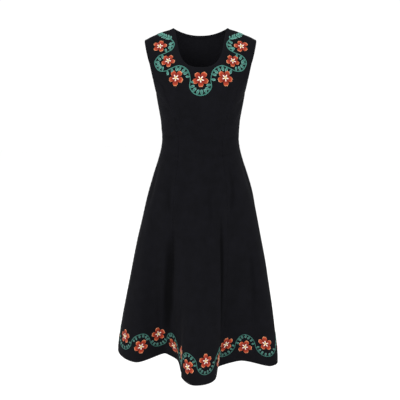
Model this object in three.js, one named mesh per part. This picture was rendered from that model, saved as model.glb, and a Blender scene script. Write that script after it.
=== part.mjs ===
// Sleeveless folk pinafore dress, hollow, as it hangs on a wearer. Millimetres, +Z up.
//
// The origin lies midway between the two shoulder points, level with the neck ends of the shoulder seams.
// The dress faces -Y, and +X is the wearer's left. Heights are given as drops below the origin.
//
// The dress has no waist seam. It is cut in six long panels, each from the armhole or the shoulder to the
// hem: a front and a back that carry the shoulders and the neckline, and four side panels. They meet at
// shaped seams that start in the armholes, at the side seams, and at the shoulder seams. The skirt's flare
// is let in at the seams, and falls in rounded folds.
import * as THREE from "three";

// Driving sizes
const WALL = 1.8; // cloth with its turned edge, as one wall
const SEAM_GAP = 0.3; // between two panels
const HEM_DROP = 1185; // level of the hem, before its dips
const FOLD_TOP_DROP = 520; // where the skirt's folds start
const FOLD_GROWTH = 1.35; // how fast they deepen towards the hem
const UNDERARM_DROP = 215;
const SHOULDER_TIP = { halfWidth: 190, drop: 38 };
const NECK_END = { halfWidth: 91 }; // neck end of the shoulder seam, at the origin's level
const NECK_FRONT = { drop: 129, halfWidth: 80, flare: 5, bottomPower: 3, bottomRoundness: 0.37 };
const NECK_BACK = { drop: 23, power: 2.2 };
const ARMHOLE_HALF_HEIGHT = (UNDERARM_DROP - SHOULDER_TIP.drop) / 2;
const ARMHOLE_MID_DROP = (UNDERARM_DROP + SHOULDER_TIP.drop) / 2;
const SEAM_START = -28; // where the shaped seams leave the armhole: degrees up round it from its middle
const SQUARENESS = 0.92; // of the cross-sections: 1 is an ellipse, less is squarer
const SHOULDER_SPREAD = 1.1; // how the half width grows up the armhole: 1 is even, more is later
const FACET = 18; // length of a facet along a row
const ROW_HEIGHT = 45; // height of a row of facets below the underarm
const ROW_SAMPLES = 240; // that a row's length is measured with
const HALVINGS = 40; // of a search for where two lines meet
const SAME_PLACE = 0.01; // points closer than this are one
const LOWER_ARMHOLE_ROWS = 5;
const UPPER_ARMHOLE_ROWS = 8;

// Cross-sections from the underarm to the hem: half width, and depth of centre front and centre back.
const SECTIONS = [
  { drop: 215, halfWidth: 155, front: 130, back: 97 },
  { drop: 245, halfWidth: 151, front: 134, back: 98 },
  { drop: 280, halfWidth: 145, front: 128, back: 95 },
  { drop: 320, halfWidth: 139, front: 115, back: 90 },
  { drop: 375, halfWidth: 136, front: 104, back: 88 },
  { drop: 404, halfWidth: 139, front: 104, back: 92 },
  { drop: 445, halfWidth: 149, front: 110, back: 103 },
  { drop: 510, halfWidth: 170, front: 124, back: 127 },
  { drop: 566, halfWidth: 187, front: 136, back: 141 },
  { drop: 650, halfWidth: 207, front: 152, back: 157 },
  { drop: 776, halfWidth: 236, front: 174, back: 180 },
  { drop: 925, halfWidth: 266, front: 196, back: 204 },
  { drop: 1050, halfWidth: 288, front: 211, back: 221 },
  { drop: 1190, halfWidth: 306, front: 224, back: 236 },
];

// The two sides of the dress: how the centre line arches up to the shoulder, how far the armhole's edge
// stands off the shoulder line, and where the shaped seam runs, in degrees round from the side's centre.
const FRONT = {
  facing: -1,
  depth: "front",
  arch: 2.1,
  armhole: 50,
  seam: [
    { drop: 168, turn: 90 },
    { drop: 176, turn: 74 },
    { drop: 190, turn: 62 },
    { drop: 215, turn: 51 },
    { drop: 250, turn: 42 },
    { drop: 300, turn: 36 },
    { drop: 375, turn: 32 },
    { drop: 566, turn: 28 },
    { drop: 1190, turn: 28 },
  ],
};
const BACK = {
  facing: 1,
  depth: "back",
  arch: 1.1,
  armhole: 48,
  seam: [
    { drop: 168, turn: 90 },
    { drop: 176, turn: 75 },
    { drop: 190, turn: 63 },
    { drop: 215, turn: 51 },
    { drop: 250, turn: 41 },
    { drop: 300, turn: 35 },
    { drop: 375, turn: 31 },
    { drop: 566, turn: 29 },
    { drop: 1190, turn: 29 },
  ],
};

// Folds at the hem, all round from centre front towards the wearer's left. turn is where the cloth of that
// fold lies round the hips; angle and reach are where it hangs at the hem, about the dress's axis; dip is
// how much lower the hem falls there.
const FOLDS = [
  { turn: 0, angle: -5.5, reach: 271, dip: 7 }, // front fold, crest
  { turn: 9, angle: 7.3, reach: 244, dip: 15 },
  { turn: 18, angle: 13, reach: 222, dip: 17 }, // its side wall
  { turn: 29, angle: 28, reach: 145, dip: 11 },
  { turn: 42, angle: 50.5, reach: 196, dip: -10 }, // hollow
  { turn: 63, angle: 63, reach: 293, dip: 6 }, // left front fold
  { turn: 74, angle: 68.5, reach: 304, dip: 6 },
  { turn: 95, angle: 94.5, reach: 263, dip: -5 }, // hollow
  { turn: 113, angle: 113, reach: 285, dip: 0 }, // left back fold
  { turn: 132, angle: 134, reach: 204, dip: -8 }, // hollow
  { turn: 153, angle: 154, reach: 268, dip: 4 }, // back fold
  { turn: 177, angle: 175, reach: 192, dip: -8 }, // hollow
  { turn: 200, angle: 199, reach: 272, dip: 4 }, // back fold
  { turn: 225, angle: 226, reach: 208, dip: -8 }, // hollow
  { turn: 245, angle: 247, reach: 290, dip: 0 }, // right back fold
  { turn: 259, angle: 261, reach: 280, dip: -4 }, // hollow
  { turn: 271, angle: 273.5, reach: 315, dip: -4 }, // right front fold
  { turn: 292, angle: 298.5, reach: 263, dip: -4 },
  { turn: 312, angle: 302.5, reach: 158, dip: -19 }, // hollow
  { turn: 326, angle: 322, reach: 144, dip: -10 },
  { turn: 344, angle: 338, reach: 184, dip: 14 }, // front fold, its other side wall
  { turn: 352, angle: 344, reach: 237, dip: 3 },
];

const lerp = THREE.MathUtils.lerp;
const radians = THREE.MathUtils.degToRad;

// Value of a table's column at a place on its key column, on a smooth curve through the rows. A table with a
// period closes on itself.
function smooth(table, key, column, at, period = 0) {
  const last = table.length - 1;
  const row = (i) => {
    if (!period) {
      const held = table[Math.min(Math.max(i, 0), last)];
      return { place: held[key], value: held[column] };
    }
    const turns = Math.floor(i / table.length);
    const wrapped = table[i - turns * table.length];
    const carried = column === "angle" ? turns * period : 0;
    return { place: wrapped[key] + turns * period, value: wrapped[column] + carried };
  };
  let i = 0;
  while (i < last - (period ? 0 : 1) && row(i + 1).place <= at) i += 1;
  const [before, low, high, after] = [row(i - 1), row(i), row(i + 1), row(i + 2)];
  const slope = (a, b) => (a.place === b.place ? 0 : (b.value - a.value) / (b.place - a.place));
  const rise = slope(low, high);
  const tangent = (outer, sign) => {
    const beyond = sign < 0 ? slope(outer, low) : slope(high, outer);
    if (beyond * rise <= 0) return 0;
    return (2 * beyond * rise) / (beyond + rise);
  };
  const span = high.place - low.place;
  const t = THREE.MathUtils.clamp((at - low.place) / span, 0, 1);
  const pull = tangent(before, -1) * (t ** 3 - 2 * t ** 2 + t) + tangent(after, 1) * (t ** 3 - t ** 2);
  return low.value + (high.value - low.value) * (3 * t ** 2 - 2 * t ** 3) + span * pull;
}

// Where a point of the hem hangs, as seen from above, on a smooth closed curve through the folds.
function hemPlan(turn) {
  const at = THREE.MathUtils.euclideanModulo(turn, 360);
  const angle = radians(smooth(FOLDS, "turn", "angle", at, 360));
  const reach = smooth(FOLDS, "turn", "reach", at, 360);
  const dip = smooth(FOLDS, "turn", "dip", at, 360);
  return { x: reach * Math.sin(angle), y: -reach * Math.cos(angle), dip };
}

// The plain cross-section through a drop below the underarm, as seen from above.
function plainSection(turn, drop) {
  const sine = Math.sin(radians(turn));
  const cosine = Math.cos(radians(turn));
  const depth = smooth(SECTIONS, "drop", cosine > 0 ? "front" : "back", drop);
  return {
    x: smooth(SECTIONS, "drop", "halfWidth", drop) * Math.sign(sine) * Math.abs(sine) ** SQUARENESS,
    y: -depth * Math.sign(cosine) * Math.abs(cosine) ** SQUARENESS,
  };
}

// A point of the cloth below the underarm. turn is in degrees round from centre front.
function bodyPoint(turn, drop) {
  const plain = plainSection(turn, drop);
  const share = Math.max(0, (drop - FOLD_TOP_DROP) / (HEM_DROP - FOLD_TOP_DROP));
  const folded = share ** FOLD_GROWTH;
  const hem = hemPlan(turn);
  const plainHem = plainSection(turn, HEM_DROP);
  return new THREE.Vector3(
    plain.x + folded * (hem.x - plainHem.x),
    plain.y + folded * (hem.y - plainHem.y),
    -drop - hem.dip * share ** 2,
  );
}

// A point of the cloth beside the armhole. turn is in degrees round from the side's own centre, up to 90 at
// the armhole's edge. climb is in degrees round the armhole, from -90 at the underarm to 90 at the
// shoulder's tip.
function yokePoint(side, turn, climb) {
  const sine = Math.sin(radians(turn));
  const across = Math.sign(sine) * Math.abs(sine) ** SQUARENESS;
  const towardsCentre = Math.abs(Math.cos(radians(turn))) ** SQUARENESS;
  const lift = Math.sin(radians((climb + 90) / 2));
  const sink = Math.cos(radians((climb + 90) / 2));
  const underarm = SECTIONS[0];
  const edgeDrop = ARMHOLE_MID_DROP - ARMHOLE_HALF_HEIGHT * Math.sin(radians(climb));
  const edgeDepth = side.armhole * Math.cos(radians(climb));
  const edgeHeight = (UNDERARM_DROP - edgeDrop) / (UNDERARM_DROP - SHOULDER_TIP.drop);
  const halfWidth = lerp(underarm.halfWidth, SHOULDER_TIP.halfWidth, edgeHeight ** SHOULDER_SPREAD);
  const neckShare = NECK_END.halfWidth / SHOULDER_TIP.halfWidth;
  const centreTop = SHOULDER_TIP.drop / (1 - neckShare ** 2) - SHOULDER_TIP.drop;
  const centreDrop = lerp(UNDERARM_DROP, -centreTop, lift);
  const centreDepth = underarm[side.depth] * sink ** side.arch;
  return new THREE.Vector3(
    halfWidth * across,
    side.facing * lerp(edgeDepth, centreDepth, towardsCentre),
    -lerp(edgeDrop, centreDrop, 1 - across ** 2),
  );
}

// How far below the origin each neckline runs, at a distance from the centre line.
function neckDrop(side, x) {
  const out = Math.min(Math.abs(x) / NECK_END.halfWidth, 1);
  if (side === BACK) return NECK_BACK.drop * (1 - out ** NECK_BACK.power);
  const widest = (drop) => {
    const share = drop / NECK_FRONT.drop;
    const flared = lerp(NECK_FRONT.halfWidth, NECK_END.halfWidth, (1 - share) ** NECK_FRONT.flare);
    return flared * (1 - share ** NECK_FRONT.bottomPower) ** NECK_FRONT.bottomRoundness;
  };
  return bisect((drop) => widest(drop) - Math.abs(x), 0, NECK_FRONT.drop);
}

// Where a falling function reaches zero.
function bisect(value, low, high) {
  for (let step = 0; step < HALVINGS; step += 1) {
    const middle = (low + high) / 2;
    if (value(middle) > 0) low = middle;
    else high = middle;
  }
  return (low + high) / 2;
}

// How far up round the armhole a line of turn climbs before it meets the neckline.
function neckClimb(side, turn) {
  const below = (climb) => {
    const point = yokePoint(side, turn, climb);
    return -point.z - neckDrop(side, point.x);
  };
  return below(90) > 0 ? 90 : bisect(below, -90, 90);
}

// How far round from the centre the neckline lies on a row of the yoke.
function neckTurn(side, climb) {
  const above = (turn) => {
    const point = yokePoint(side, turn, climb);
    return neckDrop(side, point.x) + point.z;
  };
  return bisect(above, 0, 90);
}

function seamTurn(side, drop) {
  return smooth(side.seam, "drop", "turn", drop);
}

// One sheet of shared points for the whole dress. Panels are sets of triangles in it, so that both sides of a
// seam have the same points and the same normals.
class Sheet {
  constructor() {
    this.points = [];
    this.normals = [];
    this.known = new Map();
  }

  add(point) {
    const key = [point.x, point.y, point.z].map((value) => Math.round(value / SAME_PLACE)).join();
    if (!this.known.has(key)) {
      this.known.set(key, this.points.length);
      this.points.push(point);
      this.normals.push(new THREE.Vector3());
    }
    return this.known.get(key);
  }

  // Triangles between a row and the row above it, taking the shorter diagonal each time.
  join(lower, upper) {
    const triangles = [];
    const apart = (a, b) => this.points[a].distanceTo(this.points[b]);
    let i = 0;
    let j = 0;
    while (i < lower.length - 1 || j < upper.length - 1) {
      const alongLower =
        j === upper.length - 1 ||
        (i < lower.length - 1 && apart(lower[i + 1], upper[j]) <= apart(lower[i], upper[j + 1]));
      triangles.push(alongLower ? [lower[i], lower[i + 1], upper[j]] : [lower[i], upper[j + 1], upper[j]]);
      if (alongLower) i += 1;
      else j += 1;
    }
    return triangles.filter(([a, b, c]) => a !== b && b !== c && c !== a);
  }

  gatherNormals(triangles) {
    for (const corners of triangles) {
      const [a, b, c] = corners.map((id) => this.points[id]);
      const facet = b.clone().sub(a).cross(c.clone().sub(a));
      for (const id of corners) this.normals[id].add(facet);
    }
  }
}

const sheet = new Sheet();

// Points along a row, from one turn to another, at even steps of length about one facet long.
function row(pointAt, from, to) {
  const fine = Array.from({ length: ROW_SAMPLES + 1 }, (_, i) => pointAt(lerp(from, to, i / ROW_SAMPLES)));
  const along = [0];
  for (let i = 1; i < fine.length; i += 1) along.push(along[i - 1] + fine[i].distanceTo(fine[i - 1]));
  const length = along[along.length - 1];
  const steps = Math.max(1, Math.round(length / FACET));
  if (length < SEAM_GAP) return [sheet.add(fine[0])];
  return Array.from({ length: steps + 1 }, (_, step) => {
    const wanted = (length * step) / steps;
    const i = Math.max(1, along.findIndex((value) => value >= wanted - Number.EPSILON * length));
    const share = (wanted - along[i - 1]) / (along[i] - along[i - 1]);
    return sheet.add(pointAt(lerp(from, to, (i - 1 + share) / ROW_SAMPLES)));
  });
}

function joinRows(rows) {
  return rows.slice(1).flatMap((upper, i) => sheet.join(rows[i], upper));
}

// Drops of the rows from the hem up to the underarm.
const bodyRows = Math.round((HEM_DROP - UNDERARM_DROP) / ROW_HEIGHT);
const BODY_DROPS = Array.from({ length: bodyRows }, (_, i) => lerp(HEM_DROP, UNDERARM_DROP, i / bodyRows));

// Climbs of the rows round the armhole, from the underarm to where the seam starts, and on to the shoulder.
const LOWER_CLIMBS = Array.from({ length: LOWER_ARMHOLE_ROWS + 1 }, (_, i) =>
  lerp(-90, SEAM_START, i / LOWER_ARMHOLE_ROWS),
);
const UPPER_CLIMBS = Array.from({ length: UPPER_ARMHOLE_ROWS }, (_, i) =>
  lerp(SEAM_START, 90, (i + 1) / UPPER_ARMHOLE_ROWS),
);

function edgeTurn(side, climb) {
  const drop = ARMHOLE_MID_DROP - ARMHOLE_HALF_HEIGHT * Math.sin(radians(climb));
  return climb >= SEAM_START ? 90 : seamTurn(side, drop);
}

// Turns are counted round from the side's own centre, towards the wearer's left in front and right behind,
// so that both sides run the same way round the dress.
function sideBody(side, turn, drop) {
  return bodyPoint(side === FRONT ? turn : 180 + turn, drop);
}

function sideYoke(side, turn, climb) {
  const point = yokePoint(side, turn, climb);
  if (side === BACK) point.x = -point.x;
  return point;
}

// Lower yoke rows in front stay below the neckline: a line that meets it takes its share of the climb.
function lowerClimb(side, turn, climb) {
  const highest = Math.min(SEAM_START, neckClimb(side, turn));
  return lerp(-90, highest, (climb + 90) / (SEAM_START + 90));
}

function upperClimb(side, turn, climb) {
  const highest = neckClimb(side, turn);
  return lerp(SEAM_START, highest, (climb - SEAM_START) / (90 - SEAM_START));
}

// The panel with the shoulders and the neckline, from its seam on one side to its seam on the other.
function centrePanel(side) {
  const below = BODY_DROPS.map((drop) => {
    const edge = seamTurn(side, drop);
    return row((turn) => sideBody(side, turn, drop), -edge, edge);
  });
  const neck = side === FRONT ? neckTurn(side, SEAM_START) : 90;
  const lower = LOWER_CLIMBS.map((climb) => {
    const edge = edgeTurn(side, climb);
    const corner = Math.min(neck, edge) * (side === FRONT ? 1 : 0.5);
    const at = (turn) => sideYoke(side, turn, lowerClimb(side, turn, climb));
    return { left: row(at, -edge, -corner), middle: row(at, -corner, corner), right: row(at, corner, edge) };
  });
  const whole = (part) => [...part.left, ...part.middle.slice(1), ...part.right.slice(1)];
  const triangles = joinRows([...below, ...lower.map(whole)]);
  const top = lower[lower.length - 1];
  if (side === FRONT) {
    const straps = UPPER_CLIMBS.map((climb) => {
      const at = (turn) => sideYoke(side, turn, climb);
      const inner = neckTurn(side, climb);
      return { left: row(at, -90, -inner), right: row(at, inner, 90) };
    });
    triangles.push(...joinRows([top.left, ...straps.map((strap) => strap.left)]));
    triangles.push(...joinRows([top.right, ...straps.map((strap) => strap.right)]));
  } else {
    const neckEnd = neckTurn(side, 90);
    const rows = UPPER_CLIMBS.map((climb) => {
      const at = (turn) => sideYoke(side, turn, upperClimb(side, turn, climb));
      const strap = [row(at, -90, -neckEnd), row(at, -neckEnd, neckEnd), row(at, neckEnd, 90)];
      return [...strap[0], ...strap[1].slice(1), ...strap[2].slice(1)];
    });
    triangles.push(...joinRows([whole(top), ...rows]));
  }
  return triangles;
}

// A side panel, from the shaped seam to the side seam. hand is 1 for the wearer's left in front.
function sidePanel(side, hand) {
  const run = (pointAt, edge) => (hand > 0 ? row(pointAt, edge, 90) : row(pointAt, -90, -edge));
  const below = BODY_DROPS.map((drop) => run((turn) => sideBody(side, turn, drop), seamTurn(side, drop)));
  const lower = LOWER_CLIMBS.map((climb) =>
    run((turn) => sideYoke(side, turn, lowerClimb(side, turn, climb)), edgeTurn(side, climb)),
  );
  return joinRows([...below, ...lower]);
}

// Edges that only one triangle of a panel uses, in the direction that triangle runs.
function rim(triangles) {
  const edges = new Map();
  for (const corners of triangles) {
    corners.forEach((from, i) => {
      const to = corners[(i + 1) % 3];
      if (edges.has(`${to},${from}`)) edges.delete(`${to},${from}`);
      else edges.set(`${from},${to}`, [from, to]);
    });
  }
  return [...edges.values()];
}

// Closes a panel into a wall: its outer points, the same points moved in by the cloth's thickness, and the
// faces between them along the rim. Points on a seam step back from it by half the gap.
function wall(triangles, onSeam) {
  const edges = rim(triangles);
  const steps = new Map();
  for (const [from, to] of edges) {
    if (!onSeam(from, to)) continue;
    const along = sheet.points[to].clone().sub(sheet.points[from]).normalize();
    for (const id of [from, to]) {
      const inward = sheet.normals[id].clone().cross(along).normalize();
      steps.set(id, (steps.get(id) ?? new THREE.Vector3()).add(inward));
    }
  }
  const ids = [...new Set(triangles.flat())];
  const place = new Map(ids.map((id, i) => [id, i]));
  const outer = ids.map((id) => {
    const step = (steps.get(id) ?? new THREE.Vector3()).normalize();
    return sheet.points[id].clone().addScaledVector(step, SEAM_GAP / 2);
  });
  const inner = ids.map((id, i) => outer[i].clone().addScaledVector(sheet.normals[id], -WALL));
  const faces = [];
  for (const [a, b, c] of triangles.map((corners) => corners.map((id) => place.get(id)))) {
    faces.push(a, b, c, a + ids.length, c + ids.length, b + ids.length);
  }
  for (const [from, to] of edges.map((edge) => edge.map((id) => place.get(id)))) {
    faces.push(to, from, from + ids.length, to, from + ids.length, to + ids.length);
  }
  const geometry = new THREE.BufferGeometry();
  const values = [...outer, ...inner].flatMap((point) => point.toArray());
  geometry.setAttribute("position", new THREE.Float32BufferAttribute(values, 3));
  geometry.setIndex(faces);
  geometry.computeVertexNormals();
  return geometry;
}

const panels = {
  front: centrePanel(FRONT),
  side_front_left: sidePanel(FRONT, 1),
  side_front_right: sidePanel(FRONT, -1),
  back: centrePanel(BACK),
  side_back_left: sidePanel(BACK, -1),
  side_back_right: sidePanel(BACK, 1),
};
for (const triangles of Object.values(panels)) sheet.gatherNormals(triangles);
for (const normal of sheet.normals) normal.normalize();

// An edge is on a seam if another panel has it too.
const rims = Object.fromEntries(Object.entries(panels).map(([name, triangles]) => [name, rim(triangles)]));
const edgeUse = new Map();
for (const [from, to] of Object.values(rims).flat()) {
  const key = [from, to].sort((a, b) => a - b).join();
  edgeUse.set(key, (edgeUse.get(key) ?? 0) + 1);
}
const isSeam = (from, to) => edgeUse.get([from, to].sort((a, b) => a - b).join()) > 1;

const dress = new THREE.Group();
for (const [name, triangles] of Object.entries(panels)) {
  const cloth = new THREE.MeshStandardMaterial({ color: 0x1b1b21, roughness: 0.92, metalness: 0 });
  const mesh = new THREE.Mesh(wall(triangles, isSeam), cloth);
  mesh.name = name;
  dress.add(mesh);
}

export default dress;
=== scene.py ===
"""Sleeveless folk pinafore dress in black double knit, with an embroidered neckline and hem.

The dress hangs as it is worn, hollow, with its neck, armholes and hem open. Six long panels are worked out
from the same named sizes as the part's solids. Each is a thin shell of cloth with its creases laid in, and
its seams and turned edges pressed in. Satin-stitched flowers and vines are raised on top of the cloth.

Lengths here are millimetres, +Z up, with the origin between the shoulder points. Meshes are made in metres.
"""

import logging
import math
from dataclasses import dataclass, field, replace
from enum import Enum
from typing import Callable, Iterable, Protocol, Sequence

import bpy
import numpy as np
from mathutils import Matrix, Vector, kdtree
from mathutils.bvhtree import BVHTree


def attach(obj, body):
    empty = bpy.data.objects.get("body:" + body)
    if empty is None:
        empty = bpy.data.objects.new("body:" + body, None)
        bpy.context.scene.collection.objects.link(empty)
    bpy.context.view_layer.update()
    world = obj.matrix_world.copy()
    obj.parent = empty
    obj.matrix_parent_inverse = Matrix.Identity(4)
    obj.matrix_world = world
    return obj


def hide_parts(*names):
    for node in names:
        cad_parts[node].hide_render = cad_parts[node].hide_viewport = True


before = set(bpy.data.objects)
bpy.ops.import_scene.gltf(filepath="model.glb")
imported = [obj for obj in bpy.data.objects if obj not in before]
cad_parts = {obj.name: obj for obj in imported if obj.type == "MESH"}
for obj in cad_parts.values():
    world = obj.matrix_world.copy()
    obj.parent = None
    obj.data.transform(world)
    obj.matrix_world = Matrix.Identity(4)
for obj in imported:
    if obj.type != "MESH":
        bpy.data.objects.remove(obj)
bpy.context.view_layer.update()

LOG = logging.getLogger("pinafore")
METRES = 0.001  # one millimetre, in metres
BODY = "root"

Array = np.ndarray
Surface = Callable[[Array, Array], Array]  # gives points for turns and rows


# --------------------------------------------------------------------------------------------------
# Colours and shader nodes
# --------------------------------------------------------------------------------------------------


def linear(colour: str) -> tuple[float, float, float, float]:
    """Turns an sRGB hex colour into linear light.

    Args:
        colour: six hex digits after a hash.

    Returns:
        Red, green, blue and an opaque alpha, as Blender's sockets take them.
    """
    channels = [int(colour[i : i + 2], 16) / 255 for i in (1, 3, 5)]
    light = [c / 12.92 if c <= 0.04045 else ((c + 0.055) / 1.055) ** 2.4 for c in channels]
    return (light[0], light[1], light[2], 1.0)


def add_node(
    tree: bpy.types.NodeTree, kind: str, settings: dict | None = None, **links: object
) -> bpy.types.Node:
    """Adds a shader node with its settings and links.

    Args:
        tree: the material's node tree.
        kind: the node's type, without the word ShaderNode.
        settings: values by attribute name, or by input number or name.
        links: output sockets by the name of the input they go into, with _ for a space and i0 for input 0.

    Returns:
        The new node.
    """
    node = tree.nodes.new(f"ShaderNode{kind}")
    for name, value in (settings or {}).items():
        if isinstance(name, int) or name in node.inputs:
            node.inputs[name].default_value = value
        else:
            setattr(node, name, value)
    for name, socket in links.items():
        known = {item.name.replace(" ", "_"): item for item in reversed(node.inputs)}
        target = node.inputs[int(name[1:])] if name[1:].isdigit() else known[name]
        tree.links.new(socket, target)
    return node


def new_material(name: str) -> tuple[bpy.types.Material, bpy.types.NodeTree, bpy.types.Node]:
    """Makes an empty material.

    Args:
        name: the material's name.

    Returns:
        The material, its node tree and its output node.
    """
    material = bpy.data.materials.new(name)
    material.use_nodes = True
    tree = material.node_tree
    tree.nodes.clear()
    return material, tree, add_node(tree, "OutputMaterial")


@dataclass(frozen=True)
class DoubleKnit:
    """Black cotton-rich double knit, piece-dyed: matt and dense, with fine wales and a little lint on top.

    To the eye it is a soft near-black with no shine. Its wrong side is a little paler. Both get painted
    shade, near-black mixed in: in the troughs of the folds, and further down inside.
    """

    name: str = "black_double_knit"
    face: str = "#0f0f12"
    worn: str = "#131317"
    wrong_side: str = "#1a1a1e"
    # painted shade: the near-black mixed into the folds' troughs and the lower inside, standing in for shadow
    painted_shade: str = "#040405"
    lint: str = "#25252b"
    roughness: float = 0.9
    sheen: float = 0.012
    sheen_tint: str = "#8b8b9a"
    sheen_roughness: float = 0.45
    wale: float = 1.6  # real wales stand 1.1 mm apart; drawn half as wide again, so that they show
    course: float = 1.1
    course_share: float = 0.35  # how high the courses stand, beside the wales
    nap_share: float = 0.5  # how high the nap stands, beside the wales
    nap_scale: float = 900.0  # grains of about 1.1 mm
    slub_scale: float = 28.0  # patches of about 36 mm
    relief: float = 0.12

    def build(self) -> bpy.types.Material:
        """Makes the material, with wales and courses from the cloth's own flat coordinates."""
        material, tree, output = new_material(self.name)
        place = add_node(tree, "UVMap", {"uv_map": "grain"})
        split = add_node(tree, "SeparateXYZ", Vector=place.outputs["UV"])
        spot = add_node(tree, "TexCoord").outputs["Object"]

        across = math.tau / (self.wale * METRES)
        along = math.tau / (self.course * METRES)
        wale = add_node(tree, "Math", {"operation": "MULTIPLY", 1: across}, i0=split.outputs["X"])
        wale = add_node(tree, "Math", {"operation": "SINE"}, i0=wale.outputs[0])
        course = add_node(tree, "Math", {"operation": "MULTIPLY", 1: along}, i0=split.outputs["Y"])
        course = add_node(tree, "Math", {"operation": "SINE"}, i0=course.outputs[0])
        course = add_node(tree, "Math", {"operation": "MULTIPLY", 1: self.course_share}, i0=course.outputs[0])
        loops = add_node(tree, "Math", {"operation": "ADD"}, i0=wale.outputs[0], i1=course.outputs[0])

        nap = add_node(
            tree, "TexNoise", {"Scale": self.nap_scale, "Detail": 3.0, "Roughness": 0.65}, Vector=spot
        )
        slub = add_node(
            tree, "TexNoise", {"Scale": self.slub_scale, "Detail": 4.0, "Roughness": 0.6}, Vector=spot
        )
        blend = add_node(tree, "MapRange", {"From Min": 0.35, "From Max": 0.75}, Value=slub.outputs["Fac"])
        colour = add_node(
            tree,
            "Mix",
            {"data_type": "RGBA", 6: linear(self.face), 7: linear(self.worn)},
            i0=blend.outputs["Result"],
        )
        lint = add_node(
            tree, "MapRange", {"From Min": 0.7, "From Max": 0.82, "To Max": 0.35}, Value=nap.outputs["Fac"]
        )
        layer = add_node(tree, "UVMap", {"uv_map": "facing"})
        facing = add_node(tree, "SeparateXYZ", Vector=layer.outputs["UV"])
        # the third mix paints shade: near-black over the folds' troughs and further down inside
        for hue, share in (
            (self.lint, lint.outputs["Result"]),
            (self.wrong_side, facing.outputs["X"]),
            (self.painted_shade, facing.outputs["Y"]),
        ):
            settings = {"data_type": "RGBA", 7: linear(hue)}
            colour = add_node(tree, "Mix", settings, i0=share, i6=colour.outputs[2])
        surface = add_node(tree, "Math", {"operation": "MULTIPLY", 1: self.nap_share}, i0=nap.outputs["Fac"])
        height = add_node(tree, "Math", {"operation": "ADD"}, i0=loops.outputs[0], i1=surface.outputs[0])
        bump = add_node(
            tree, "Bump", {"Strength": 0.25, "Distance": self.relief * METRES}, Height=height.outputs[0]
        )
        rough = add_node(
            tree,
            "MapRange",
            {"To Min": self.roughness - 0.04, "To Max": self.roughness + 0.06},
            Value=slub.outputs["Fac"],
        )
        cloth = add_node(
            tree,
            "BsdfPrincipled",
            {
                "IOR": 1.45,
                "Specular IOR Level": 0.05,
                "Sheen Weight": self.sheen,
                "Sheen Roughness": self.sheen_roughness,
                "Sheen Tint": linear(self.sheen_tint),
            },
            Base_Color=colour.outputs[2],
            Roughness=rough.outputs["Result"],
            Normal=bump.outputs["Normal"],
        )
        tree.links.new(cloth.outputs["BSDF"], output.inputs["Surface"])
        return material


# --------------------------------------------------------------------------------------------------
# The dress's own form
# --------------------------------------------------------------------------------------------------


class Side(Enum):
    """The two sides of the dress, by the direction they face along Y."""

    FRONT = -1
    BACK = 1


@dataclass(frozen=True)
class Section:
    """A level cross-section: half width, and the depth of centre front and centre back."""

    drop: float
    half_width: float
    front: float
    back: float


@dataclass(frozen=True)
class SeamRow:
    """Where a shaped seam runs at a drop, in degrees round from the side's centre."""

    drop: float
    turn: float


@dataclass(frozen=True)
class Fold:
    """A place on the hem: where its cloth lies at the hips, where it hangs, and how much lower it falls."""

    turn: float
    angle: float
    reach: float
    dip: float


SECTIONS = (
    Section(drop=215, half_width=155, front=130, back=97),
    Section(drop=245, half_width=151, front=134, back=98),
    Section(drop=280, half_width=145, front=128, back=95),
    Section(drop=320, half_width=139, front=115, back=90),
    Section(drop=375, half_width=136, front=104, back=88),
    Section(drop=404, half_width=139, front=104, back=92),
    Section(drop=445, half_width=149, front=110, back=103),
    Section(drop=510, half_width=170, front=124, back=127),
    Section(drop=566, half_width=187, front=136, back=141),
    Section(drop=650, half_width=207, front=152, back=157),
    Section(drop=776, half_width=236, front=174, back=180),
    Section(drop=925, half_width=266, front=196, back=204),
    Section(drop=1050, half_width=288, front=211, back=221),
    Section(drop=1190, half_width=306, front=224, back=236),
)

SEAMS = {
    Side.FRONT: (
        SeamRow(drop=168, turn=90),
        SeamRow(drop=176, turn=74),
        SeamRow(drop=190, turn=62),
        SeamRow(drop=215, turn=51),
        SeamRow(drop=250, turn=42),
        SeamRow(drop=300, turn=36),
        SeamRow(drop=375, turn=32),
        SeamRow(drop=566, turn=28),
        SeamRow(drop=1190, turn=28),
    ),
    Side.BACK: (
        SeamRow(drop=168, turn=90),
        SeamRow(drop=176, turn=75),
        SeamRow(drop=190, turn=63),
        SeamRow(drop=215, turn=51),
        SeamRow(drop=250, turn=41),
        SeamRow(drop=300, turn=35),
        SeamRow(drop=375, turn=31),
        SeamRow(drop=566, turn=29),
        SeamRow(drop=1190, turn=29),
    ),
}

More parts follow.
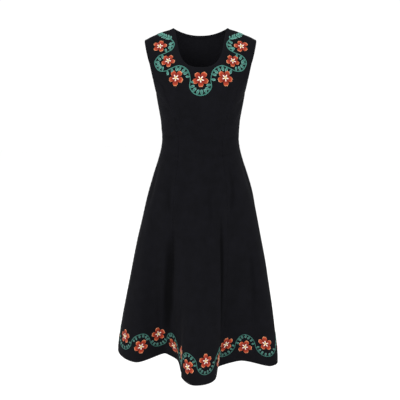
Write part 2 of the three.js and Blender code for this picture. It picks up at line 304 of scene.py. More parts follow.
FOLDS = (
    Fold(turn=0, angle=-5.5, reach=271, dip=7),  # front fold, crest
    Fold(turn=9, angle=7.3, reach=244, dip=15),
    Fold(turn=18, angle=13, reach=222, dip=17),  # its side wall
    Fold(turn=29, angle=28, reach=145, dip=11),
    Fold(turn=42, angle=50.5, reach=196, dip=-10),  # hollow
    Fold(turn=63, angle=63, reach=293, dip=6),  # left front fold
    Fold(turn=74, angle=68.5, reach=304, dip=6),
    Fold(turn=95, angle=94.5, reach=263, dip=-5),  # hollow
    Fold(turn=113, angle=113, reach=285, dip=0),  # left back fold
    Fold(turn=132, angle=134, reach=204, dip=-8),  # hollow
    Fold(turn=153, angle=154, reach=268, dip=4),  # back fold
    Fold(turn=177, angle=175, reach=192, dip=-8),  # hollow
    Fold(turn=200, angle=199, reach=272, dip=4),  # back fold
    Fold(turn=225, angle=226, reach=208, dip=-8),  # hollow
    Fold(turn=245, angle=247, reach=290, dip=0),  # right back fold
    Fold(turn=259, angle=261, reach=280, dip=-4),  # hollow
    Fold(turn=271, angle=273.5, reach=315, dip=-4),  # right front fold
    Fold(turn=292, angle=298.5, reach=263, dip=-4),
    Fold(turn=312, angle=302.5, reach=158, dip=-19),  # hollow
    Fold(turn=326, angle=322, reach=144, dip=-10),
    Fold(turn=344, angle=338, reach=184, dip=14),  # front fold, its other side wall
    Fold(turn=352, angle=344, reach=237, dip=3),
)


class Curve:
    """A smooth curve through a table's rows, flat at its turning points and ends, or closed on itself."""

    def __init__(
        self, places: Sequence[float], values: Sequence[float], period: float = 0, gain: float = 0
    ) -> None:
        """Works out the curve's slope at each row.

        Args:
            places: the key column, rising.
            values: the value at each place.
            period: the distance after which a closed curve repeats, or 0.
            gain: how much the value grows in each period.
        """
        x, y = np.array(places, float), np.array(values, float)
        self.period, self.gain = period, gain
        if period:
            x = np.concatenate([x[-3:] - period, x, x[:3] + period])
            y = np.concatenate([y[-3:] - gain, y, y[:3] + gain])
        slope = np.diff(y) / np.diff(x)
        product = slope[:-1] * slope[1:]
        total = np.where(product > 0, slope[:-1] + slope[1:], 1)
        inner = np.where(product > 0, 2 * product / total, 0)
        self.x, self.y, self.tangent = x, y, np.concatenate([[0], inner, [0]])

    def at(self, place: Array | float) -> Array:
        """Reads the curve.

        Args:
            place: one or more places on the key column.

        Returns:
            The values there.
        """
        place = np.asarray(place, float)
        turns = np.floor(place / self.period) if self.period else np.zeros_like(place)
        near = place - turns * self.period
        i = np.clip(np.searchsorted(self.x, near, side="right") - 1, 0, len(self.x) - 2)
        span = self.x[i + 1] - self.x[i]
        t = np.clip((near - self.x[i]) / span, 0, 1)
        pull = self.tangent[i] * (t**3 - 2 * t**2 + t) + self.tangent[i + 1] * (t**3 - t**2)
        rise = self.y[i + 1] - self.y[i]
        return self.y[i] + rise * (3 * t**2 - 2 * t**3) + span * pull + turns * self.gain


def column(rows: Iterable[object], *names: str) -> list[list[float]]:
    """Reads named columns out of a table.

    Args:
        rows: the table's rows.
        names: the columns.

    Returns:
        One list of values for each name.
    """
    return [[getattr(row, name) for row in rows] for name in names]


def bisect(value: Callable[[Array], Array], low: Array, high: Array) -> Array:
    """Finds where falling functions reach zero.

    Args:
        value: the function, for an array of places.
        low: where each search starts.
        high: where each search ends.

    Returns:
        The places of the zeros.
    """
    low, high = np.array(low, float), np.array(high, float)
    for _ in range(40):
        middle = (low + high) / 2
        positive = value(middle) > 0
        low, high = np.where(positive, middle, low), np.where(positive, high, middle)
    return (low + high) / 2


def running_length(points: Array) -> Array:
    """Gives each point's distance from the first, along the line through them all."""
    return np.concatenate([[0], np.cumsum(np.linalg.norm(np.diff(points, axis=0), axis=1))])


def mix(a: Array | float, b: Array | float, share: Array | float) -> Array | float:
    """Goes from a to b by a share."""
    return a + (b - a) * share


@dataclass(frozen=True)
class DressForm:
    """The surface that the cloth follows, worked out from the dress's sizes."""

    hem_drop: float = 1185
    fold_top_drop: float = 520
    fold_growth: float = 1.35
    underarm_drop: float = 215
    shoulder_half_width: float = 190
    shoulder_drop: float = 38
    neck_half_width: float = 91
    front_neck_drop: float = 129
    front_neck_half_width: float = 80
    back_neck_drop: float = 23
    # Where the shaped seams leave the armhole, in degrees up round it from its middle
    seam_start: float = -28
    squareness: float = 0.92
    front_arch: float = 2.1
    back_arch: float = 1.1
    front_armhole: float = 50
    back_armhole: float = 48
    armhole_ease: float = 1.1  # how late the armhole's edge widens towards the shoulder
    neck_samples: int = 4000
    neck_bend: int = 3
    neck_flare: int = 5
    neck_roundness: float = 0.37
    back_neck_bend: float = 2.2
    curves: dict[str, Curve] = field(default_factory=dict)

    def __post_init__(self) -> None:
        """Lays smooth curves through the tables."""
        drops = column(SECTIONS, "drop")[0]
        for name in ("half_width", "front", "back"):
            self.curves[name] = Curve(drops, column(SECTIONS, name)[0])
        for side, rows in SEAMS.items():
            self.curves[f"seam_{side.name}"] = Curve(*column(rows, "drop", "turn"))
        turns = column(FOLDS, "turn")[0]
        for name in ("angle", "reach", "dip"):
            gain = 360 if name == "angle" else 0
            self.curves[name] = Curve(turns, column(FOLDS, name)[0], period=360, gain=gain)
        u = 1 - (1 - np.linspace(0, 1, self.neck_samples)) ** 3
        flared = mix(self.front_neck_half_width, self.neck_half_width, (1 - u) ** self.neck_flare)
        widths = flared * (1 - u**self.neck_bend) ** self.neck_roundness
        self.curves["neck"] = widths[::-1], (u * self.front_neck_drop)[::-1]

    def plain_section(self, turn: Array, drop: Array) -> tuple[Array, Array]:
        """Gives a point of the plain cross-section.

        Args:
            turn: degrees round from centre front towards the wearer's left.
            drop: the level, below the underarm.

        Returns:
            Its x and y.
        """
        sine, cosine = np.sin(np.radians(turn)), np.cos(np.radians(turn))
        depth = np.where(cosine > 0, self.curves["front"].at(drop), self.curves["back"].at(drop))
        x = self.curves["half_width"].at(drop) * np.sign(sine) * np.abs(sine) ** self.squareness
        return x, -depth * np.sign(cosine) * np.abs(cosine) ** self.squareness

    def body(self, turn: Array, drop: Array) -> Array:
        """Gives a point of the cloth below the underarm.

        Args:
            turn: degrees round from centre front towards the wearer's left.
            drop: the level, before the hem's dip.

        Returns:
            The point or points, with x, y and z last.
        """
        turn, drop = np.broadcast_arrays(np.asarray(turn, float), np.asarray(drop, float))
        x, y = self.plain_section(turn, drop)
        share = np.maximum(0, (drop - self.fold_top_drop) / (self.hem_drop - self.fold_top_drop))
        folded = share**self.fold_growth
        angle = np.radians(self.curves["angle"].at(turn))
        reach = self.curves["reach"].at(turn)
        hem_x, hem_y = self.plain_section(turn, self.hem_drop)
        return np.stack(
            [
                x + folded * (reach * np.sin(angle) - hem_x),
                y + folded * (-reach * np.cos(angle) - hem_y),
                -drop - self.curves["dip"].at(turn) * share**2,
            ],
            axis=-1,
        )

    def armhole_drop(self, climb: Array) -> Array:
        """Gives the level of the armhole's edge, at a climb in degrees round it."""
        half_height = (self.underarm_drop - self.shoulder_drop) / 2
        return self.shoulder_drop + half_height * (1 - np.sin(np.radians(climb)))

    def yoke(self, side: Side, turn: Array, climb: Array) -> Array:
        """Gives a point of the cloth beside the armhole.

        Args:
            side: front or back.
            turn: degrees round from the side's centre, the same way round the dress, up to 90 at the armhole.
            climb: degrees round the armhole, from -90 at the underarm to 90 at the shoulder's tip.

        Returns:
            The point or points.
        """
        turn, climb = np.broadcast_arrays(np.asarray(turn, float), np.asarray(climb, float))
        sine = np.sin(np.radians(turn))
        across = np.sign(sine) * np.abs(sine) ** self.squareness
        towards_centre = np.abs(np.cos(np.radians(turn))) ** self.squareness
        half = np.radians((climb + 90) / 2)
        lift, sink = np.sin(half), np.clip(np.cos(half), 0, 1)
        edge_drop = self.armhole_drop(climb)
        front = side is Side.FRONT
        edge_depth = (self.front_armhole if front else self.back_armhole) * np.cos(np.radians(climb))
        height = self.underarm_drop - self.shoulder_drop
        edge_height = np.clip((self.underarm_drop - edge_drop) / height, 0, 1)
        half_width = mix(SECTIONS[0].half_width, self.shoulder_half_width, edge_height**self.armhole_ease)
        neck_share = self.neck_half_width / self.shoulder_half_width
        centre_top = self.shoulder_drop / (1 - neck_share**2) - self.shoulder_drop
        centre_drop = mix(self.underarm_drop, -centre_top, lift)
        depth = SECTIONS[0].front if front else SECTIONS[0].back
        centre_depth = depth * sink ** (self.front_arch if front else self.back_arch)
        x = half_width * across
        y = side.value * mix(edge_depth, centre_depth, towards_centre)
        return np.stack([x if front else -x, y, -mix(edge_drop, centre_drop, 1 - across**2)], axis=-1)

    def side_body(self, side: Side, turn: Array, drop: Array) -> Array:
        """Gives a point below the underarm, with the turn counted from the side's own centre."""
        return self.body(turn if side is Side.FRONT else 180 + np.asarray(turn, float), drop)

    def neck_drop(self, side: Side, x: Array) -> Array:
        """Gives how far below the origin the neckline runs, at a distance from the centre line.

        Args:
            side: front or back.
            x: the distances.

        Returns:
            The drops.
        """
        out = np.minimum(np.abs(x) / self.neck_half_width, 1)
        if side is Side.BACK:
            return self.back_neck_drop * (1 - out**self.back_neck_bend)
        widths, drops = self.curves["neck"]
        return np.interp(out * self.neck_half_width, widths, drops)

    def below_neck(self, side: Side, turn: Array, climb: Array) -> Array:
        """Gives how far a point of the yoke lies below the neckline; above it the value is negative."""
        point = self.yoke(side, turn, climb)
        return -point[..., 2] - self.neck_drop(side, point[..., 0])

    def neck_climb(self, side: Side, turn: Array) -> Array:
        """Gives how far up round the armhole a line of turn climbs before it meets the neckline.

        Args:
            side: front or back.
            turn: degrees round from the side's centre.

        Returns:
            The climbs, 90 where the line ends on the shoulder.
        """
        turn = np.asarray(turn, float)
        ends = np.full_like(turn, 90)
        found = bisect(lambda climb: self.below_neck(side, turn, climb), -ends, ends)
        return np.where(self.below_neck(side, turn, ends) > 0, 90, found)

    def neck_turn(self, side: Side, climb: Array) -> Array:
        """Gives how far round from the centre the neckline lies, on a row of the yoke."""
        climb = np.asarray(climb, float)
        centre, armhole = np.zeros_like(climb), np.full_like(climb, 90)
        return bisect(lambda turn: -self.below_neck(side, turn, climb), centre, armhole)

    def seam_turn(self, side: Side, drop: Array) -> Array:
        """Gives where the shaped seam runs at a drop, in degrees round from the side's centre."""
        return self.curves[f"seam_{side.name}"].at(drop)

    def edge_turn(self, side: Side, climb: Array) -> Array:
        """Gives the turn of the centre panel's edge on a row of the yoke: its seam, then the armhole."""
        climb = np.asarray(climb, float)
        return np.where(climb >= self.seam_start, 90, self.seam_turn(side, self.armhole_drop(climb)))

    def lower_climb(self, side: Side, turn: Array, climb: Array) -> Array:
        """Keeps the rows below the seam's start under the neckline, each taking its share of the climb."""
        highest = np.minimum(self.seam_start, self.neck_climb(side, turn))
        return mix(-90, highest, (climb + 90) / (self.seam_start + 90))

    def upper_climb(self, side: Side, turn: Array, climb: Array) -> Array:
        """Keeps the rows above the seam's start under the neckline, each taking its share of the climb."""
        share = (climb - self.seam_start) / (90 - self.seam_start)
        return mix(self.seam_start, self.neck_climb(side, turn), share)

    def any_point(self, turn: float, drop: float) -> Array:
        """Gives the cloth's point at a turn all round the dress, at any level.

        Args:
            turn: degrees round from centre front towards the wearer's left.
            drop: the level.

        Returns:
            The point.
        """
        if drop >= self.underarm_drop:
            return self.body(turn, drop)
        turn = (turn + 180) % 360 - 180
        side = Side.FRONT if abs(turn) <= 90 else Side.BACK
        own = turn if side is Side.FRONT else (turn + 360) % 360 - 180
        climb = bisect(lambda c: -self.yoke(side, own, c)[..., 2] - drop, np.array(-90.0), np.array(90.0))
        return self.yoke(side, own, climb)


# --------------------------------------------------------------------------------------------------
# Cutting the panels
# --------------------------------------------------------------------------------------------------


@dataclass
class Patch:
    """A grid of the cloth's points, with rows from the hem upwards, and the flat coordinates of each."""

    points: Array
    flat: Array


@dataclass(frozen=True)
class Mesher:
    """How closely the cloth's surface is sampled."""

    row: float = 4.6  # between two rows, and about as much between two columns at the hem
    edge_steps: tuple[float, ...] = (0.9, 2.4, 5.0)  # extra columns and rows, in from a seam or an edge
    short_row: float = 8  # a row shorter than this many last edge steps has its extra columns drawn in
    fine: int = 160  # samples that a row's length is measured with

    def columns(self, lengths: Array, count: int, eased: tuple[bool, bool]) -> Array:
        """Spaces out the columns along rows of several lengths.

        Args:
            lengths: each row's length.
            count: even columns between the eased ends.
            eased: whether the left and the right end get the extra columns.

        Returns:
            Distances along each row, one row of them for each length.
        """
        steps = np.array(self.edge_steps)
        share = np.minimum(1, lengths / (self.short_row * steps[-1]))[:, None]
        left = steps * share if eased[0] else np.zeros((len(lengths), 0))
        right = lengths[:, None] - (steps * share)[:, ::-1] if eased[1] else np.zeros((len(lengths), 0))
        start = left[:, -1:] if eased[0] else np.zeros((len(lengths), 1))
        end = right[:, :1] if eased[1] else lengths[:, None]
        inner = start + (end - start) * np.linspace(0, 1, count + 1)[None, :]
        parts = [inner]
        if eased[0]:
            parts = [np.zeros((len(lengths), 1)), left[:, :-1], *parts]
        if eased[1]:
            parts = [*parts, right[:, 1:], lengths[:, None]]
        return np.concatenate(parts, axis=1)

    def patch(
        self,
        point_at: Surface,
        rows: Array,
        start: Array,
        end: Array,
        count: int,
        eased: tuple[bool, bool],
        middle: Array | None = None,
    ) -> Patch:
        """Samples a stretch of cloth on rows of even steps.

        Args:
            point_at: the surface, for turns and rows.
            rows: the rows' own places, from below upwards.
            start: the turn where each row starts.
            end: the turn where each row ends.
            count: the number of even columns.
            eased: whether the left and the right end get the extra columns.
            middle: the turn of the panel's grain line on each row, or None for the middle of the stretch.

        Returns:
            The patch.
        """
        shares = np.linspace(0, 1, self.fine + 1)
        turns = start[:, None] + (end - start)[:, None] * shares[None, :]
        trace = point_at(turns, rows[:, None])
        steps = np.linalg.norm(np.diff(trace, axis=1), axis=-1)
        along = np.concatenate([np.zeros((len(rows), 1)), np.cumsum(steps, axis=1)], axis=1)
        wanted = self.columns(along[:, -1], count, eased)
        placed = np.stack(
            [
                np.interp(w, a, t) if a[-1] > 0 else t[:1].repeat(len(w))
                for w, a, t in zip(wanted, along, turns)
            ]
        )
        points = point_at(placed, rows[:, None])
        if middle is None:
            zero = along[:, -1] / 2
        else:
            zero = np.array([np.interp(m, t, a) for m, a, t in zip(middle, along, turns)])
        return Patch(points, np.stack([wanted - zero[:, None], points[:, :, 2]], axis=-1))


def grid_faces(first: int, rows: int, columns: int) -> Array:
    """Numbers the four corners of each cell of a grid.

    Args:
        first: the number of the grid's first point.
        rows: its rows of points.
        columns: its columns of points.

    Returns:
        One row of four numbers for each cell.
    """
    at = first + np.arange(rows * columns).reshape(rows, columns)
    return np.stack([at[:-1, :-1], at[:-1, 1:], at[1:, 1:], at[1:, :-1]], axis=-1).reshape(-1, 4)


@dataclass(frozen=True)
class PanelCutter:
    """Samples each of the six panels from the dress's form."""

    form: DressForm
    mesher: Mesher = Mesher()
    centre_columns: int = 92
    side_columns: int = 62
    strap_columns: int = 20
    break_depth: float = 250.0  # below the underarm, where the strips take their even widths
    lower_count: int = 15
    upper_count: int = 40
    below_seam: tuple[float, ...] = (3.2, 1.5, 0.6, 0)  # the last climbs below the seam's start
    above_seam: tuple[float, ...] = (0, 0.8, 2.2, 5)  # the first climbs above it
    near_tip: tuple[float, ...] = (86, 87.6, 89, 90)  # the last climbs below the shoulder's tip

    def body_rows(self) -> Array:
        """Gives the drops of the rows from the hem up to the underarm, closer together at the hem's edge."""
        form = self.form
        near_hem = form.hem_drop - np.array([0, *self.mesher.edge_steps])
        count = round((near_hem[-1] - form.underarm_drop) / self.mesher.row)
        return np.concatenate([near_hem[:-1], np.linspace(near_hem[-1], form.underarm_drop, count + 1)])

    def lower_rows(self) -> Array:
        """Gives the climbs of the rows up to the seam's start, closer together there."""
        near = self.form.seam_start - np.array(self.below_seam)
        return np.concatenate([np.linspace(-90, near[0], self.lower_count), near[1:]])

    def upper_rows(self) -> Array:
        """Gives the climbs of the rows from the seam's start to the shoulder, closer at both ends."""
        near = self.form.seam_start + np.array(self.above_seam)
        even = np.linspace(near[-1], self.near_tip[0], self.upper_count)
        return np.concatenate([near[:-1], even, self.near_tip[1:]])

    def surfaces(self, side: Side) -> tuple[Surface, Surface]:
        """Gives a side's surface below the underarm, and the one from there up to the seam's start.

        Args:
            side: front or back.

        Returns:
            Both surfaces.
        """

        def below(turn: Array, drop: Array) -> Array:
            """The surface below the underarm."""
            return self.form.side_body(side, turn, drop)

        def beside(turn: Array, climb: Array) -> Array:
            """The surface beside the armhole."""
            return self.form.yoke(side, turn, self.form.lower_climb(side, turn, climb))

        return below, beside

    def strips(self, surface: Surface, rows: Array, edge: Array, inner: Array, whole: bool) -> list[Patch]:
        """Samples a stretch of a centre panel in strips.

        Args:
            surface: the stretch's surface.
            rows: the rows' own places.
            edge: the turn of the panel's edge on each row.
            inner: the turn where the outer strips end.
            whole: whether a middle strip lies between the outer ones.

        Returns:
            The strips' patches.
        """
        patch, strap = self.mesher.patch, self.strap_columns
        first = patch(surface, rows, -edge, -inner, strap, (True, False), -inner)
        last = patch(surface, rows, inner, edge, strap, (False, True), inner)
        if not whole:
            return [first, last]
        count = self.centre_columns - 2 * strap
        return [first, patch(surface, rows, -inner, inner, count, (False, False), np.zeros_like(rows)), last]

    def centre(self, side: Side) -> list[Patch]:
        """Samples the panel with the shoulders and the neckline.

        Args:
            side: front or back.

        Returns:
            Its patches.
        """
        form, front = self.form, side is Side.FRONT
        drops, lower, upper = self.body_rows(), self.lower_rows(), self.upper_rows()
        low_edge = form.edge_turn(side, lower)
        neck = float(form.neck_turn(side, np.array(form.seam_start))) if front else 90.0
        corner = np.minimum(neck, low_edge) * (1 if front else 0.5)
        breaks = self.body_breaks(side, drops, corner[0] / low_edge[0])
        below, beside = self.surfaces(side)

        def above(turn: Array, climb: Array) -> Array:
            """The surface above the seam's start: the straps in front, or the back up to its neckline."""
            return form.yoke(side, turn, climb if front else form.upper_climb(side, turn, climb))

        if front:
            inner = form.neck_turn(side, upper)
        else:
            share = (upper - form.seam_start) / (90 - form.seam_start)
            inner = mix(corner[-1], float(form.neck_turn(side, np.array(90.0))), share)
        return [
            *self.strips(below, drops, form.seam_turn(side, drops), breaks, whole=True),
            *self.strips(beside, lower, low_edge, corner, whole=True),
            *self.strips(above, upper, np.full_like(upper, 90), inner, whole=not front),
        ]

    def body_breaks(self, side: Side, drops: Array, top_share: float) -> Array:
        """Gives the turn where the centre panel's columns change from strap to middle, down to the hem.

        Args:
            side: front or back.
            drops: the rows' drops.
            top_share: the break's share of the panel's half width at the underarm.

        Returns:
            One turn for each row.
        """
        even = 1 - 2 * self.strap_columns / self.centre_columns
        sink = np.clip((drops - self.form.underarm_drop) / self.break_depth, 0, 1)
        share = mix(top_share, even, 3 * sink**2 - 2 * sink**3)
        return self.form.seam_turn(side, drops) * share

    def side(self, side: Side, hand: int) -> list[Patch]:
        """Samples a panel between a shaped seam and a side seam.

        Args:
            side: front or back.
            hand: 1 for the end that runs on round the dress from the side's centre, -1 for the other.

        Returns:
            Its patches.
        """
        form, count = self.form, self.side_columns
        below, beside = self.surfaces(side)
        patches = []
        drops, lower = self.body_rows(), self.lower_rows()
        for rows, edge, surface in (
            (drops, form.seam_turn(side, drops), below),
            (lower, form.edge_turn(side, lower), beside),
        ):
            ninety = np.full_like(rows, 90)
            start, end = (edge, ninety) if hand > 0 else (-ninety, -edge)
            patches.append(self.mesher.patch(surface, rows, start, end, count, (True, True)))
        return patches


# --------------------------------------------------------------------------------------------------
# Creases and pressed seams
# --------------------------------------------------------------------------------------------------


@dataclass(frozen=True)
class Crease:
    """A soft trough with a ridge beside it, from one place on the dress to another.

    turn is in degrees round from centre front towards the wearer's left. bow bends the line sideways, as a
    share of the relief's upright_bow or level_bow. A negative depth makes a ridge with a trough beside it.
    """

    turn: float
    drop: float
    end_turn: float
    end_drop: float
    bow: float
    width: float
    depth: float


# Each crease gives turn, drop, end_turn, end_drop, bow, width and depth
CREASES: tuple[Crease, ...] = (
    # Drag lines from the underarms to the fullest part of the front
    Crease(78, 222, 44, 262, 0.08, 9, 2.6),
    Crease(-80, 226, -46, 256, -0.10, 8, 2.2),
    Crease(70, 246, 40, 292, 0.05, 11, 2.2),
    Crease(-72, 250, -38, 288, -0.06, 12, 2.6),
    # Below the bust
    Crease(52, 302, 14, 322, 0.10, 12, 2.0),
    Crease(-50, 306, -12, 318, -0.08, 10, 1.8),
    # Waist, in front
    Crease(84, 352, 34, 366, 0.06, 8, 2.6),
    Crease(-88, 358, -30, 372, -0.05, 9, 2.8),
    Crease(76, 386, 22, 380, -0.06, 9, 2.4),
    Crease(-74, 392, -18, 402, 0.05, 8, 2.2),
    Crease(60, 412, 6, 424, 0.07, 11, 1.9),
    Crease(-64, 424, -20, 440, -0.07, 10, 1.8),
    # Hips, where the skirt starts to fall
    Crease(38, 452, 30, 640, 0.05, 16, 3.4),
    Crease(-34, 470, -30, 660, -0.05, 15, 3.2),
    Crease(70, 446, 74, 610, 0.03, 14, 2.6),
    Crease(-72, 454, -70, 620, 0.03, 15, 2.8),
    Crease(8, 498, 12, 700, -0.02, 18, 2.2),
    Crease(-14, 520, -10, 690, 0.03, 17, 2.0),
    # Long ripples of the skirt
    Crease(52, 700, 47, 1080, 0.03, 16, 3.0),
    Crease(-52, 720, -58, 1100, -0.02, 15, 2.8),
    Crease(19.8, 580, 25.5, 1130, 0, 13, 7.5),
    Crease(-27, 650, -43, 1145, 0, 30, 7.5),
    Crease(84, 680, 88, 1060, 0.03, 15, 2.6),
    Crease(-84, 690, -86, 1080, -0.03, 16, 2.8),
    Crease(118, 700, 122, 1120, 0.03, 15, 2.8),
    Crease(-112, 690, -108, 1090, 0.02, 15, 2.6),
    Crease(146, 720, 143, 1080, -0.02, 16, 3.0),
    Crease(-148, 700, -144, 1090, 0.03, 15, 2.8),
    Crease(172, 740, 168, 1120, 0.02, 15, 2.6),
    Crease(-168, 720, -172, 1100, -0.03, 16, 2.8),
    # Small of the back
    Crease(172, 330, 112, 352, 0.10, 12, 3.2),
    Crease(-168, 338, -110, 344, -0.10, 11, 3.0),
    Crease(164, 366, 104, 372, 0.05, 9, 3.2),
    Crease(-160, 372, -100, 380, -0.06, 10, 3.4),
    Crease(152, 398, 108, 392, -0.05, 9, 2.8),
    Crease(-172, 402, -118, 410, 0.06, 10, 2.6),
    Crease(176, 428, 130, 438, 0.06, 11, 2.2),
    # Seat, where the skirt starts to fall
    Crease(150, 470, 154, 660, 0.04, 16, 3.2),
    Crease(-148, 462, -150, 650, -0.04, 15, 3.0),
    Crease(116, 458, 112, 630, 0.03, 14, 2.6),
    Crease(-118, 466, -114, 640, -0.03, 15, 2.6),
    Crease(176, 490, 179, 700, 0.02, 18, 2.4),
    # Shoulder blades and armholes behind
    Crease(114, 210, 150, 252, -0.10, 11, 2.4),
    Crease(-112, 214, -148, 246, 0.10, 10, 2.2),
    Crease(122, 150, 150, 188, -0.08, 12, 1.8),
    Crease(-120, 158, -152, 184, 0.08, 12, 1.8),
    # Armholes in front
    Crease(64, 182, 40, 214, 0.08, 9, 1.8),
    Crease(-66, 178, -42, 218, -0.08, 9, 2.0),
)


@dataclass(frozen=True)
class Relief:
    """What raises and sinks the cloth's surface off the dress's plain form."""

    form: DressForm
    creases: tuple[Crease, ...] = CREASES
    ripple: float = 0.7
    groove: float = 0.9
    pucker: float = 0.28
    pucker_pitch: float = 17.0
    pucker_width: float = 12.0
    groove_width: float = 1.3
    turning: float = 8.0
    stitch_line: float = 0.30  # how deep the turning's stitches pull the cloth in
    stitch_line_width: float = 1.6
    edge_ease: float = 40.0  # from an open edge, the distance over which the relief fades in
    edge_share: float = 0.25  # the least of it that is left at the edge
    upright_bow: float = 60.0  # degrees that a bow of 1 bends an upright crease by
    level_bow: float = 110.0  # millimetres that a bow of 1 bends a level crease by
    crease_samples: int = 15

    def heights(self, points: Array, normals: Array, to_seam: Array, to_edge: Array) -> Array:
        """Works out how far each point moves along its normal.

        Args:
            points: the plain form's points.
            normals: their outward normals.
            to_seam: each point's distance from the nearest seam.
            to_edge: each point's distance from the nearest open edge.

        Returns:
            The heights.
        """
        heights = self.ripples(points)
        for crease in self.creases:
            heights += self.crease(crease, points, normals)
        heights *= np.clip(to_edge / self.edge_ease, self.edge_share, 1)
        wave = np.sin(math.tau * points[:, 2] / self.pucker_pitch + 1.7 * np.sin(points[:, 2] / 61))
        heights += self.pucker * wave * np.exp(-((to_seam / self.pucker_width) ** 2))
        heights -= self.groove * np.exp(-((to_seam / self.groove_width) ** 2))
        heights -= self.stitch_line * np.exp(-(((to_edge - self.turning) / self.stitch_line_width) ** 2))
        return heights

    def ripples(self, points: Array) -> Array:
        """Gives the low uneven waves that any hanging cloth has."""
        x, y, z = points.T
        waves = (
            np.sin(x / 13.1 + 0.9 * np.sin(z / 71) + y / 37)
            + np.sin(y / 14.7 - 0.8 * np.sin(z / 83 + 1.3) + x / 41)
            + 0.8 * np.sin(z / 27 + x / 31 + 1.1 * np.sin(y / 53))
            + 0.6 * np.sin(z / 19 - y / 29 + 0.4 + 1.3 * np.sin(x / 47))
        )
        return self.ripple * waves / 3.4

    def crease(self, crease: Crease, points: Array, normals: Array) -> Array:
        """Works out one crease.

        Args:
            crease: its sizes.
            points: the plain form's points.
            normals: their outward normals.

        Returns:
            Its height at each point.
        """
        steps = np.linspace(0, 1, self.crease_samples)
        bend = crease.bow * np.sin(math.pi * steps)
        turns = crease.turn + (crease.end_turn - crease.turn) * steps
        drops = crease.drop + (crease.end_drop - crease.drop) * steps
        tall = abs(crease.end_drop - crease.drop) > 2.5 * abs(crease.end_turn - crease.turn)
        if tall:
            turns = turns + bend * self.upright_bow
        else:
            drops = drops + bend * self.level_bow
        line = np.array([self.form.any_point(t, d) for t, d in zip(turns, drops)])
        heights = np.zeros(len(points))
        reach = 4 * crease.width
        low, high = line.min(0) - reach, line.max(0) + reach
        near = np.where(np.all((points > low) & (points < high), axis=1))[0]
        if not len(near):
            return heights
        best = np.full(len(near), 1e9)
        signed, share = np.zeros(len(near)), np.zeros(len(near))
        for i in range(len(line) - 1):
            step = line[i + 1] - line[i]
            offset = points[near] - line[i]
            t = np.clip(offset @ step / (step @ step), 0, 1)
            rest = offset - t[:, None] * step
            distance = np.linalg.norm(rest, axis=1)
            closer = distance < best
            turned = np.cross(np.broadcast_to(step, rest.shape), rest)
            side = np.sign(np.einsum("ij,ij->i", turned, normals[near]))
            best = np.where(closer, distance, best)
            signed = np.where(closer, distance * side, signed)
            share = np.where(closer, (i + t) / (len(line) - 1), share)
        taper = np.clip(np.sin(math.pi * share), 0, 1) ** 0.7
        q = signed / (crease.width * (0.75 + 0.25 * taper))
        trough = np.exp(-(q**2))
        ridge = 0.6 * np.exp(-(((q - 1.7) / 1.1) ** 2))
        rise = 0.25 * np.exp(-(((q + 1.9) / 1.2) ** 2))
        heights[near] = crease.depth * taper * (ridge - trough + rise)
        return heights


# --------------------------------------------------------------------------------------------------
# Cloth
# --------------------------------------------------------------------------------------------------


@dataclass(frozen=True)
class CutPanel:
    """A panel's name, and the flat piece that it is cut from, in metres and square metres."""

    name: str
    flat: tuple[float, float]
    area: float


CUT_PANELS = (
    CutPanel("front", (0.42, 1.25), 0.30),
    CutPanel("side_front_left", (0.35, 1.07), 0.21),
    CutPanel("side_front_right", (0.35, 1.07), 0.21),
    CutPanel("back", (0.43, 1.24), 0.31),
    CutPanel("side_back_left", (0.36, 1.06), 0.21),
    CutPanel("side_back_right", (0.36, 1.06), 0.21),
)


